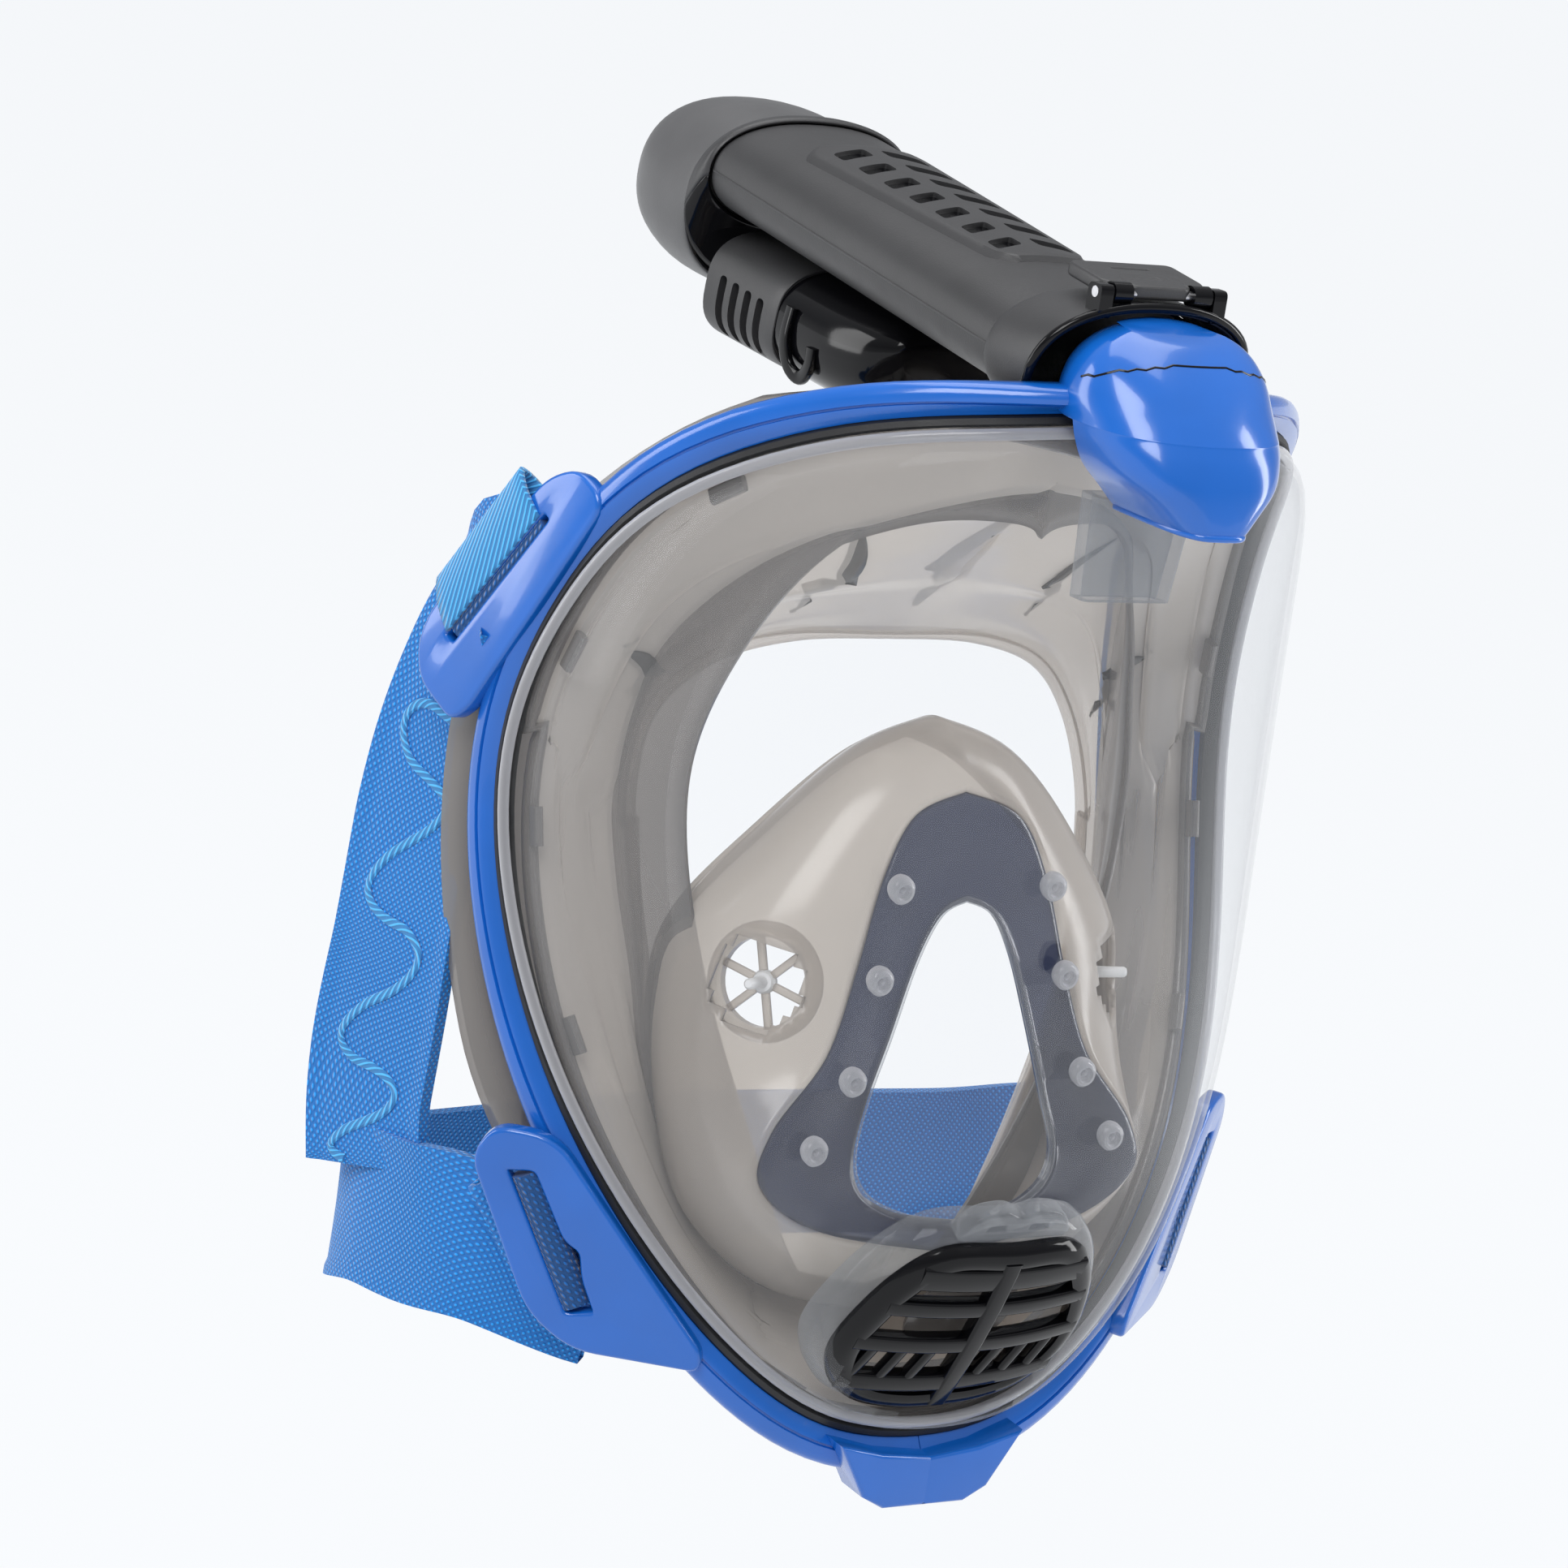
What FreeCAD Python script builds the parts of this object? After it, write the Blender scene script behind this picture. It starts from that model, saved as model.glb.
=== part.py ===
"""Full-face snorkel mask: a wrapped clear lens in a two-piece frame, a soft skirt with a nose
pocket, a chin drain valve, a head harness and a dry-top snorkel that tilts on the elbow's dome.

+X is the wearer's left, -Y is forward, +Z is up. The origin is midway between the temples, in
the opening that the wearer's face fills. Lengths are millimetres."""

import FreeCAD, Part
import Sketcher
import math
import os

from FreeCAD import Placement, Rotation, Vector

os.makedirs("parts", exist_ok=True)
doc = FreeCAD.newDocument("snorkel_mask")

# ---------------------------------------------------------------- driving dimensions

SIZES = {
    "wrap_half_width": 107, "wrap_narrowing": 0.1,
    "wrap_depth": 121, "wrap_taper": 0.144, "wrap_back": 0.3,
    "lens_rise": 10, "lens_thick": 2.4, "band_width": 9, "band_depth": 8,
    "lug_thick": 4.5, "strap_width": 38, "strap_thick": 2.2,
    "dome_radius": 16, "dome_half_width": 22.5, "dome_gap": 0.4, "dome_y": -95, "dome_z": 122,
    "snorkel_tilt": 6.5, "tube_half_width": 26.5, "tube_half_height": 12.6, "tube_wall": 2.2,
    "tube_lift": 1.3, "tube_start": 24, "tube_end": 151,
    "latch_width": 25.4, "latch_length": 14, "latch_thick": 3.2,
    "pin_radius": 1.2, "pin_gap": 0.06, "valve_radius": 11.5, "valve_thick": 3,
    "flap_radius": 9.6, "flap_thick": 0.8, "stud_radius": 3, "stud_height": 2.4,
    "chin_thick": 4, "chin_flap_radius": 14, "screw_radius": 1.5, "screw_length": 7,
    "pivot_radius": 15.4, "pivot_reach": 10,
}

sheet = doc.addObject("Spreadsheet::Sheet", "sizes")
for row, (alias, value) in enumerate(SIZES.items(), start=1):
    sheet.set(f"A{row}", alias)
    sheet.set(f"B{row}", str(value))
    sheet.setAlias(f"B{row}", alias)
doc.recompute()

nodes = []


def size(alias):
    return float(getattr(sheet, alias))


def keep(obj, label):
    """Names a finished sub-part."""
    obj.Label = label
    nodes.append(obj)
    return obj


def feature(label, shape):
    """A sub-part whose freeform shape no PartDesign feature or primitive makes."""
    obj = doc.addObject("Part::Feature", label + "_feature")
    obj.Shape = shape
    return keep(obj, label)


def primitive(kind, placement=None, **sizes_):
    """A Part primitive whose sizes are expressions over the sheet."""
    obj = doc.addObject("Part::" + kind, kind.lower())
    for name, expression in sizes_.items():
        obj.setExpression(name, str(expression))
    if placement:
        obj.Placement = placement
    return obj


def cut(base, tool):
    obj = doc.addObject("Part::Cut", "cut")
    obj.Base = base
    obj.Tool = tool
    return obj


def fuse(*shapes):
    obj = doc.addObject("Part::MultiFuse", "fuse")
    obj.Shapes = list(shapes)
    return obj


def along(position, direction, roll=None):
    """A placement that carries local +Z onto a direction, and local +X near to roll."""
    axis = Vector(*direction)
    if roll is None:
        return Placement(Vector(*position), Rotation(Vector(0, 0, 1), axis))
    return Placement(Vector(*position), Rotation(Vector(*roll), Vector(), axis, "ZXY"))


def design(label, placement):
    """An empty PartDesign body, which is a sub-part."""
    body = doc.addObject("PartDesign::Body", label + "_body")
    body.Placement = placement
    return keep(body, label)


def sketch_in(body, name):
    """A new sketch on the body's own XY plane."""
    plane = [item for item in body.Origin.OriginFeatures if item.Role == "XY_Plane"][0]
    sketch = body.newObject("Sketcher::SketchObject", name)
    sketch.AttachmentSupport = (plane, [""])
    sketch.MapMode = "FlatFace"
    return sketch


def pad_disc(body, name, radius, height, reverse=False):
    """Pads a circle about the body's Z axis. The sizes are expressions."""
    sketch = sketch_in(body, name + "_sketch")
    sketch.addGeometry(Part.Circle(Vector(0, 0, 0), Vector(0, 0, 1), 5), False)
    sketch.addConstraint(Sketcher.Constraint("Coincident", 0, 3, -1, 1))
    sketch.addConstraint(Sketcher.Constraint("Radius", 0, 5))
    sketch.setExpression("Constraints[1]", radius)
    pad = body.newObject("PartDesign::Pad", name)
    pad.Profile = sketch
    pad.Reversed = reverse
    pad.setExpression("Length", height)
    sketch.Visibility = False
    doc.recompute()


def rectangle_feature(body, kind, name, corners, length, reverse=False):
    """Pads or pockets a rectangle. corners are expressions for low x, low y, width and depth."""
    sketch = sketch_in(body, name + "_sketch")
    places = [Vector(0, 0, 0), Vector(9, 0, 0), Vector(9, 9, 0), Vector(0, 9, 0)]
    for index in range(4):
        sketch.addGeometry(Part.LineSegment(places[index], places[(index + 1) % 4]), False)
    for index in range(4):
        sketch.addConstraint(Sketcher.Constraint("Coincident", index, 2, (index + 1) % 4, 1))
    for index, way in enumerate(("Horizontal", "Vertical", "Horizontal", "Vertical")):
        sketch.addConstraint(Sketcher.Constraint(way, index))
    sketch.addConstraint(Sketcher.Constraint("DistanceX", -1, 1, 0, 1, 1))
    sketch.addConstraint(Sketcher.Constraint("DistanceY", -1, 1, 0, 1, 1))
    sketch.addConstraint(Sketcher.Constraint("DistanceX", 0, 1, 0, 2, 9))
    sketch.addConstraint(Sketcher.Constraint("DistanceY", 1, 1, 1, 2, 9))
    for number, expression in enumerate(corners, start=8):
        sketch.setExpression(f"Constraints[{number}]", expression)
    step = body.newObject("PartDesign::" + kind, name)
    step.Profile = sketch
    step.Reversed = reverse
    step.setExpression("Length", length)
    doc.recompute()


def mirrored(shape):
    return shape.mirror(Vector(0, 0, 0), Vector(1, 0, 0))


# ---------------------------------------------------------------- the wrap round the face

def wrap_scale(height):
    return size("wrap_depth") + size("wrap_taper") * height


def wrap_half(height, rise):
    return size("wrap_half_width") - size("wrap_narrowing") * height + 0.6 * rise


def wrap(x, height, rise=0.0):
    """How far forward the wrapped surface lies, at rise millimetres outside the frame's own."""
    half = wrap_half(height, rise)
    across = min(abs(x) / half, 0.999)
    scale = wrap_scale(height)
    return (scale + rise) * math.sqrt(1 - across ** 2) - size("wrap_back") * scale


def wrap_solid(rise, back=80.0, reach=170.0):
    """Everything behind the wrapped surface."""
    sections = []
    for height in (-reach, reach):
        scale = wrap_scale(height)
        half = wrap_half(height, rise)
        middle = Vector(0, size("wrap_back") * scale, height)
        left = middle + Vector(-half, 0, 0)
        right = middle + Vector(half, 0, 0)
        front = middle + Vector(0, -scale - rise, 0)
        if scale + rise > half:
            ellipse = Part.Ellipse(front, left, middle)
        else:
            ellipse = Part.Ellipse(left, front, middle)
        arc = Part.ArcOfEllipse(ellipse, ellipse.parameter(left), ellipse.parameter(right))
        if arc.value((arc.FirstParameter + arc.LastParameter) / 2).y > middle.y:
            arc = Part.ArcOfEllipse(ellipse, ellipse.parameter(right), ellipse.parameter(left))
        ends = [arc.StartPoint, arc.EndPoint]
        corners = [Vector(p.x, back, height) for p in ends]
        edges = [arc.toShape(),
                 Part.makeLine(ends[1], corners[1]),
                 Part.makeLine(corners[1], corners[0]),
                 Part.makeLine(corners[0], ends[0])]
        sections.append(Part.Wire(edges))
    return Part.makeLoft(sections, True, True)


# The rim is where the lens meets the frame, seen from the front: the wearer's right half.
RIM_HALF = [(0, 117), (-31, 114), (-56, 107), (-77, 90), (-91, 57), (-97, 19),
            (-96.5, -12), (-86.5, -54), (-69, -85), (-47.5, -108.5), (-24, -123), (0, -126.5)]

right_half = [Vector(x, 0, z) for x, z in RIM_HALF]
left_half = [Vector(-x, 0, z) for x, z in reversed(RIM_HALF[1:-1])]
rim_curve = Part.BSplineCurve()
rim_curve.interpolate(Points=right_half + left_half, PeriodicFlag=True)
RIM_START = rim_curve.parameter(right_half[0])
RIM_CHIN = rim_curve.parameter(right_half[-1])


def rim_normal(parameter):
    tangent = rim_curve.tangent(parameter)[0]
    return Vector(tangent.z, 0, -tangent.x)


def rim_prism(offset, front=-160.0, depth=220.0):
    """The rim's outline, moved outwards by offset, as a block along Y."""
    count = 40
    outward = 1 if rim_normal(RIM_START).z > 0 else -1
    points = []
    for step in range(count):
        u = rim_curve.FirstParameter + (rim_curve.LastParameter - rim_curve.FirstParameter) * step / count
        points.append(rim_curve.value(u) + rim_normal(u) * (offset * outward) + Vector(0, front, 0))
    curve = Part.BSplineCurve()
    curve.interpolate(Points=points, PeriodicFlag=True)
    return Part.Face(Part.Wire(curve.toShape())).extrude(Vector(0, depth, 0))


# Above 1, the frame's face turns further round the head than the wrapped surface does.
FACING_TURN = 1.2


class Station:
    """A place on the rim: its point, its outward and its facing direction."""

    def __init__(self, parameter):
        def on_rim(u):
            flat = rim_curve.value(u)
            return Vector(flat.x, -wrap(flat.x, flat.z), flat.z)

        step = 1e-3
        self.point = on_rim(parameter)
        self.run = (on_rim(parameter + step) - on_rim(parameter - step)).normalize()
        x, height = self.point.x, self.point.z
        slope_x = abs(wrap(x + 0.1, height) - wrap(x - 0.1, height)) / 0.2
        surface = Vector(math.copysign(slope_x, x), -1, 0).normalize()
        facing = surface * FACING_TURN + Vector(0, FACING_TURN - 1, 0)
        self.out = facing.cross(self.run).normalize()
        if self.out.dot(Vector(self.point.x, 0, self.point.z)) < 0:
            self.out = self.out * -1
        self.face = self.run.cross(self.out).normalize()
        if self.face.y > 0:
            self.face = self.face * -1

    def at(self, out, face, run=0.0):
        return self.point + self.out * out + self.face * face + self.run * run


STATION_COUNT = 15


def half_stations():
    return [Station(RIM_START + (RIM_CHIN - RIM_START) * step / (STATION_COUNT - 1))
            for step in range(STATION_COUNT)]


def rim_loft(section):
    """The wearer's right half of a band along the rim. section lists (out, face) corners."""
    wires = []
    for index, station in enumerate(half_stations()):
        corners = [station.at(out, face) for out, face in section(index)]
        if index in (0, STATION_COUNT - 1):
            corners = [Vector(0, p.y, p.z) for p in corners]
        wires.append(Part.makePolygon(corners + corners[:1]))
    return Part.makeLoft(wires, True, False)


def whole_rim(section):
    half = rim_loft(section)
    return half.fuse(mirrored(half))


# ---------------------------------------------------------------- frame, lens and gasket

def band_section(index):
    slim = max(0.0, 1 - index / 3)
    width = size("band_width") - 3 * slim
    back = -size("band_depth") * (0.6 - 0.35 * slim)
    return [(1.0, back), (width, back), (width + 0.8, 0), (width - 0.6, 2.4),
            (4.0, 2.8), (2.6, 1.2), (1.0, 0.8)]


def gasket_section(index):
    return [(0.2, -2.8), (0.9, -2.8), (0.9, 1.4), (0.2, 1.4)]


def plate(station, outline, low, thick):
    """A flat plate in the station's run and out directions."""
    corners = [station.at(out, low, run) for run, out in outline]
    face = Part.Face(Part.makePolygon(corners + corners[:1]))
    return face.extrude(station.face * thick)


UPPER_LUG = [(20, 3), (20, 13), (13, 18.5), (-31, 25.5), (-39, 23.5), (-44, 17.5), (-44, 5), (-39, 3)]
UPPER_SLOT = [(8, 11), (8, 15.5), (-33, 20), (-33, 14.5)]
LOWER_LUG = [(29, 2.5), (37.5, 12.5), (34.5, 20), (-2, 29.5), (-14, 26), (-32, 4), (-29, 2)]
LOWER_SLOT = [(30, 16), (25.5, 9), (-11, 16.5), (-7, 24)]
LUG_LOW = -0.8


def station_near(height):
    """The station on the wearer's right whose rim point is nearest to a height."""
    best = None
    for step in range(1, 200):
        station = Station(RIM_START + (RIM_CHIN - RIM_START) * step / 200)
        if best is None or abs(station.point.z - height) < abs(best.point.z - height):
            best = station
    return best


upper = station_near(59)
lower = station_near(-82)
for station in (upper, lower):
    if station.run.z < 0:
        station.run = station.run * -1


def frame_half():
    shape = rim_loft(band_section)
    for station, outline in ((upper, UPPER_LUG), (lower, LOWER_LUG)):
        shape = shape.fuse(plate(station, outline, LUG_LOW, size("lug_thick")))
    for station, slot in ((upper, UPPER_SLOT), (lower, LOWER_SLOT)):
        shape = shape.cut(plate(station, slot, LUG_LOW - 8, 24))
    return shape


right_frame = frame_half()
CHIN_BLOCK = Part.makeBox(17, 11, 9, Vector(-17, -80, -141))
right_frame = right_frame.fuse(CHIN_BLOCK.cut(rim_prism(1.2)))
SCREW_X = 9
SCREW_FOOT = Vector(-SCREW_X, -74, -141.6)
right_frame = right_frame.cut(Part.makeCylinder(size("screw_radius") + 0.05, size("screw_length") + 0.8,
                                                SCREW_FOOT, Vector(0, 0, 1)))
feature("frame_right", right_frame)
feature("frame_left", mirrored(right_frame))

rise = size("lens_rise")
thick = size("lens_thick")
LENS_GAP = 2.0
lens_block = rim_prism(-LENS_GAP).common(wrap_solid(rise)).cut(wrap_solid(-2.5))
lens_hollow = rim_prism(-LENS_GAP - thick).common(wrap_solid(rise - thick))
lens = lens_block.cut(lens_hollow)
feature("lens_gasket", whole_rim(gasket_section))


# ---------------------------------------------------------------- skirt and nose pocket

def skirt_section(index):
    """The bulge behind the frame, then the lip that turns in to the face."""
    down = index / (STATION_COUNT - 1)
    lip = 34 - 14 * abs(2 * down - 0.1)
    drop = 20 * max(0.0, 1 - index / 3)
    corners = [(-1.5, -5.4), (7.5, -5.4), (11, -14), (9, -24), (0, -31), (-lip, -34),
               (-lip, -31.8), (0, -28.8), (7, -22.5), (8.6, -14), (6, -7.6), (-1.5, -7.6)]
    return [(out - drop if out > -lip else out - drop * 0.5, face) for out, face in corners]


feature("skirt", whole_rim(skirt_section))

POCKET_BACK = [(0, 27), (-20, 18), (-42, -4), (-50, -24), (-50, -48), (-36, -73), (0, -83)]
POCKET_FRONT = [(0, 19), (-14, 13), (-26, -4), (-33, -24), (-38, -42), (-40, -57), (0, -67)]


def pocket_wire(outline, inset, depth_at):
    points = []
    for side in (1, -1):
        half = outline if side == 1 else list(reversed(outline[1:-1]))
        for x, z in half:
            shrink = 1 - inset / 45
            height = (z + 25) * shrink - 25
            points.append(Vector(x * side * shrink, depth_at(height), height))
    return Part.makePolygon(points + points[:1])


ARCH_LEAN = 0.2


def pocket_depth_back(height):
    return -22.0


def pocket_depth_front(height):
    return -57.3 + ARCH_LEAN * height


def pocket_opening_front(height):
    return pocket_depth_front(height) - 1


def arch_depth(height):
    return pocket_depth_front(height) - 0.3


pocket_outer = Part.makeLoft([pocket_wire(POCKET_BACK, 0, pocket_depth_back),
                              pocket_wire(POCKET_FRONT, 0, pocket_depth_front)], True, True)
pocket_inner = Part.makeLoft([pocket_wire(POCKET_BACK, 2.5, lambda height: -21.0),
                              pocket_wire(POCKET_FRONT, 2.5, pocket_opening_front)], True, True)
VALVE_CENTRE = (-40.6, -46.0, -26.0)
VALVE_AXIS = (-0.88, -0.46, 0.12)
valve_bore = Part.makeCylinder(size("valve_radius") + 0.2, 20, Vector(*VALVE_CENTRE)
                               - Vector(*VALVE_AXIS) * 10, Vector(*VALVE_AXIS))
pocket = pocket_outer.cut(pocket_inner).cut(valve_bore).cut(mirrored(valve_bore))
feature("nose_pocket", pocket)

arch_outer = pocket_wire(POCKET_FRONT, -4.0, arch_depth)
arch_inner = pocket_wire(POCKET_FRONT, 12.0, arch_depth)
arch_face = Part.Face(arch_outer).cut(Part.Face(arch_inner))
feature("arch_frame", arch_face.extrude(Vector(0, -2.2, 0)))

STUDS = [(-22, 3), (-29, -18), (-34, -39), (-39, -56)]
studs = []
for x, z in STUDS:
    for side in (1, -1):
        stud_foot = arch_depth(z) - 2.9
        studs.append(primitive("Cylinder", along((x * side, stud_foot, z), (0, -1, 0)),
                               Radius="sizes.stud_radius", Height="sizes.stud_height"))
stud_group = doc.addObject("Part::Compound", "studs")
stud_group.Links = studs
keep(stud_group, "arch_studs")


# ---------------------------------------------------------------- pocket valves and chin valve

def valve(side, name):
    centre = Vector(VALVE_CENTRE[0] * side, *VALVE_CENTRE[1:])
    axis = Vector(VALVE_AXIS[0] * side, *VALVE_AXIS[1:])
    seat = primitive("Cylinder", along(centre - axis * 1.5, axis),
                     Radius="sizes.valve_radius", Height="sizes.valve_thick")
    spokes = []
    for turn in range(5):
        window = primitive("Cylinder", along(centre - axis * 4, axis),
                           Radius="sizes.flap_radius - 1", Height=12, Angle=58)
        spin = Placement(Vector(), Rotation(Vector(0, 0, 1), 72 * turn))
        window.Placement = along(centre - axis * 4, axis).multiply(spin)
        spokes.append(window)
    hub = primitive("Cylinder", along(centre - axis * 1.5, axis),
                    Radius=2.4, Height="sizes.valve_thick")
    bore = primitive("Cylinder", along(centre - axis * 4, axis), Radius=1.25, Height=12)
    keep(cut(fuse(cut(seat, fuse(*spokes)), hub), bore), name + "_valve_seat")
    flap = design(name + "_valve_flap", along(centre + axis * 1.8, axis))
    pad_disc(flap, "disc", "sizes.flap_radius", "sizes.flap_thick")
    pad_disc(flap, "stem_front", "1.0", "5.0")
    pad_disc(flap, "stem_back", "1.0", "5.0", reverse=True)


valve(1, "right")
valve(-1, "left")

CHIN_CENTRE = Vector(0, -75, -90.5)
CHIN_AXIS = Vector(0, -math.cos(math.radians(27)), -math.sin(math.radians(27)))
chin_place = Placement(CHIN_CENTRE, Rotation(Vector(1, 0, 0), Vector(), CHIN_AXIS, "ZXY"))
CHIN_OUTLINE = [(-17, 26.5), (-27, 16), (-32.5, -1), (-31.5, -13), (-24, -22), (-12, -25.5)]


def chin_prism(shrink, low, thickness):
    """The valve's rounded outline as a plate: local X across, Y up the chin, Z outwards."""
    corners = [Vector(x * shrink, y * shrink, low) for x, y in CHIN_OUTLINE]
    corners += [Vector(-p.x, p.y, p.z) for p in reversed(corners)]
    curve = Part.BSplineCurve()
    curve.interpolate(Points=corners, PeriodicFlag=True)
    shape = Part.Face(Part.Wire(curve.toShape())).extrude(Vector(0, 0, thickness))
    up = 1 if chin_place.Rotation.multVec(Vector(0, 1, 0)).z > 0 else -1
    if up < 0:
        shape = shape.mirror(Vector(), Vector(0, 1, 0))
    shape.Placement = chin_place.multiply(shape.Placement)
    return shape


feature("lens", lens.cut(chin_prism(1.03, -14, 40)))
feature("chin_valve_body", chin_prism(1.0, 4.5, 5.5).cut(chin_prism(0.84, 4, 7)))
grille = chin_prism(0.97, 10.3, size("chin_thick"))
SLOT_ROWS = [(15, 4.5, 17), (5.5, 4.5, 24), (-6, 5, 26), (-17, 4, 18)]
for height, tall, wide in SLOT_ROWS:
    for side in (1, -1):
        slot = Part.makeBox(wide - 3.5, tall, 20, Vector(2.0, height - tall / 2, 2))
        if side < 0:
            slot = mirrored(slot)
        if chin_place.Rotation.multVec(Vector(0, 1, 0)).z < 0:
            slot = slot.mirror(Vector(), Vector(0, 1, 0))
        slot.Placement = chin_place.multiply(slot.Placement)
        grille = grille.cut(slot)
feature("chin_grille", grille)
flap = design("chin_flap", Placement(CHIN_CENTRE + CHIN_AXIS * 6, chin_place.Rotation))
pad_disc(flap, "disc", "sizes.chin_flap_radius", "sizes.flap_thick")

duct_outer = Part.makeBox(26, 9.3, 24, Vector(-13, -101.5, 76))
duct_inner = Part.makeBox(21, 5, 40, Vector(-10.5, -98.7, 70))
feature("duct_box", duct_outer.common(wrap_solid(6.5)).cut(duct_inner))


# ---------------------------------------------------------------- elbow

DOME = Vector(0, size("dome_y"), size("dome_z"))


HOOD = [(98.5, -121, 9.6, 9.4), (106, -115.5, 15, 13.5), (114, -110.5, 19.5, 15), (121, -108, 21.5, 14),
        (127, -107.5, 19, 11)]


def dome_solid(extra):
    radius = size("dome_radius") + extra
    half = size("dome_half_width") + extra
    matrix = FreeCAD.Matrix()
    matrix.scale(half, radius, radius)
    dome = Part.makeSphere(1).transformGeometry(matrix)
    dome.translate(DOME)
    return dome


hood_wires = []
for height, y, half_x, half_y in HOOD:
    points = []
    for step in range(16):
        angle = 2 * math.pi * step / 16
        points.append(Vector(half_x * math.cos(angle), y + half_y * math.sin(angle), height))
    curve = Part.BSplineCurve()
    curve.interpolate(Points=points, PeriodicFlag=True)
    hood_wires.append(Part.Wire(curve.toShape()))
hood = Part.makeLoft(hood_wires, True, False)
neck = Part.makeCylinder(11, 14, Vector(0, -95, 108), Vector(0, 0, 1))
elbow = hood.fuse(dome_solid(0)).fuse(neck)


def pivot_ring(extra):
    """The round ring about the tilt axis that the collar turns on."""
    reach = size("pivot_reach") + extra
    return Part.makeCylinder(size("pivot_radius") + extra, 2 * reach, DOME - Vector(reach, 0, 0),
                             Vector(1, 0, 0))


elbow = elbow.fuse(pivot_ring(0))
elbow = elbow.cut(Part.makeCylinder(7.5, 22, Vector(0, -95, 100), Vector(0, 0, 1)))
elbow = elbow.cut(Part.makeCylinder(7.5, 30, DOME, Vector(0, 1, 0)))
elbow = elbow.cut(rim_prism(10).common(wrap_solid(rise + 0.4)))
feature("elbow", elbow)


# ---------------------------------------------------------------- snorkel, in its own axes

TILT = size("snorkel_tilt")
snorkel_place = Placement(DOME, Rotation(Vector(1, 0, 0), TILT))
# Local axes of the snorkel: X across, Y along the tube away from the dome, Z out of its top.


def snorkel_feature(label, shape):
    shape.Placement = snorkel_place.multiply(shape.Placement)
    return feature(label, shape)


def oval(start, end, half_x, half_z, lift="sizes.tube_lift"):
    """An elliptical bar along the snorkel, from Part::Ellipse and Part::Extrusion."""
    ring = doc.addObject("Part::Ellipse", "oval")
    ring.setExpression("MajorRadius", str(half_x))
    ring.setExpression("MinorRadius", str(half_z))
    ring.Placement = Placement(Vector(0, 0, 0), Rotation(Vector(1, 0, 0), -90))
    ring.setExpression("Placement.Base.y", str(start))
    ring.setExpression("Placement.Base.z", str(lift))
    bar = doc.addObject("Part::Extrusion", "bar")
    bar.Base = ring
    bar.DirMode = "Custom"
    bar.Dir = Vector(0, 1, 0)
    bar.Solid = True
    bar.setExpression("LengthFwd", f"({end}) - ({start})")
    return bar


tube = cut(oval("sizes.tube_start", "sizes.tube_end", "sizes.tube_half_width",
                "sizes.tube_half_height"),
           oval("sizes.tube_start - 1", "sizes.tube_end + 1",
                "sizes.tube_half_width - sizes.tube_wall",
                "sizes.tube_half_height - sizes.tube_wall"))
tube.Placement = snorkel_place
keep(tube, "snorkel_tube")


def oval_wire(along_tube, half_x, half_z, lift):
    points = []
    for step in range(20):
        angle = 2 * math.pi * step / 20
        points.append(Vector(half_x * math.cos(angle), along_tube, lift + half_z * math.sin(angle)))
    curve = Part.BSplineCurve()
    curve.interpolate(Points=points, PeriodicFlag=True)
    return Part.Wire(curve.toShape())


def oval_loft(sections):
    return Part.makeLoft([oval_wire(*section) for section in sections], True, False)


dome_local = dome_solid(size("dome_gap"))
dome_local.translate(DOME * -1)
ring_local = pivot_ring(size("dome_gap"))
ring_local.translate(DOME * -1)
collar = oval_loft([(23.7, 27, 13.6, 1.3), (14, 27.6, 15.2, 2.0), (2, 27.2, 15.4, 2.4)])
lip_cut = Part.makeBox(80, 30, 60, Vector(-40, -30, -30))
lip_cut.Placement = Placement(Vector(0, 8.0, 0), Rotation(Vector(1, 0, 0), 12))
collar = collar.cut(lip_cut)
collar = collar.cut(dome_local).cut(ring_local).cut(oval_loft([(10, 12, 9, 0), (18, 15, 9.5, 0.5), (26, 24, 10.5, 1.3)]))
for x in (-16.5, 13.0):
    knuckle = Part.makeBox(3.5, 5, 7, Vector(x, 3, 15.2))
    collar = collar.fuse(knuckle.cut(dome_local).cut(ring_local))
collar = collar.cut(Part.makeCylinder(size("pin_radius"), 40, Vector(-20, 5.5, 20.2), Vector(1, 0, 0)))
snorkel_feature("snorkel_collar", collar)
PIN_HALF_LENGTH = 16.5
pin_place = Placement(Vector(-PIN_HALF_LENGTH, 5.5, 20.2), Rotation(Vector(0, 1, 0), 90))
pin = design("latch_pin", snorkel_place.multiply(pin_place))
pad_disc(pin, "rod", "sizes.pin_radius", str(2 * PIN_HALF_LENGTH))

plate_body = doc.addObject("PartDesign::Body", "latch_plate_body")
rectangle_feature(plate_body, "Pad", "latch_plate",
                  ["-sizes.latch_width / 2", "7.8", "sizes.latch_width", "sizes.latch_length"],
                  "sizes.latch_thick")
rectangle_feature(plate_body, "Pocket", "latch_window", ["-6", "13", "12", "4"], "10", True)
rectangle_feature(plate_body, "Pad", "latch_root",
                  ["-sizes.latch_width / 2", "5.5", "sizes.latch_width", "4"], "3")
plate_body.Placement = Placement(Vector(0, 0, 18.9), Rotation())
latch_start = Vector(-size("latch_width") / 2, 5.5, 20.2)
knuckle_bar = primitive("Cylinder", along(latch_start, (1, 0, 0)), Radius=2.3,
                        Height="sizes.latch_width")
pin_bore = primitive("Cylinder", along(latch_start - Vector(5, 0, 0), (1, 0, 0)),
                     Radius="sizes.pin_radius + sizes.pin_gap", Height=40)
latch = cut(fuse(plate_body, knuckle_bar), pin_bore)
latch.Placement = snorkel_place
keep(latch, "latch")

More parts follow.
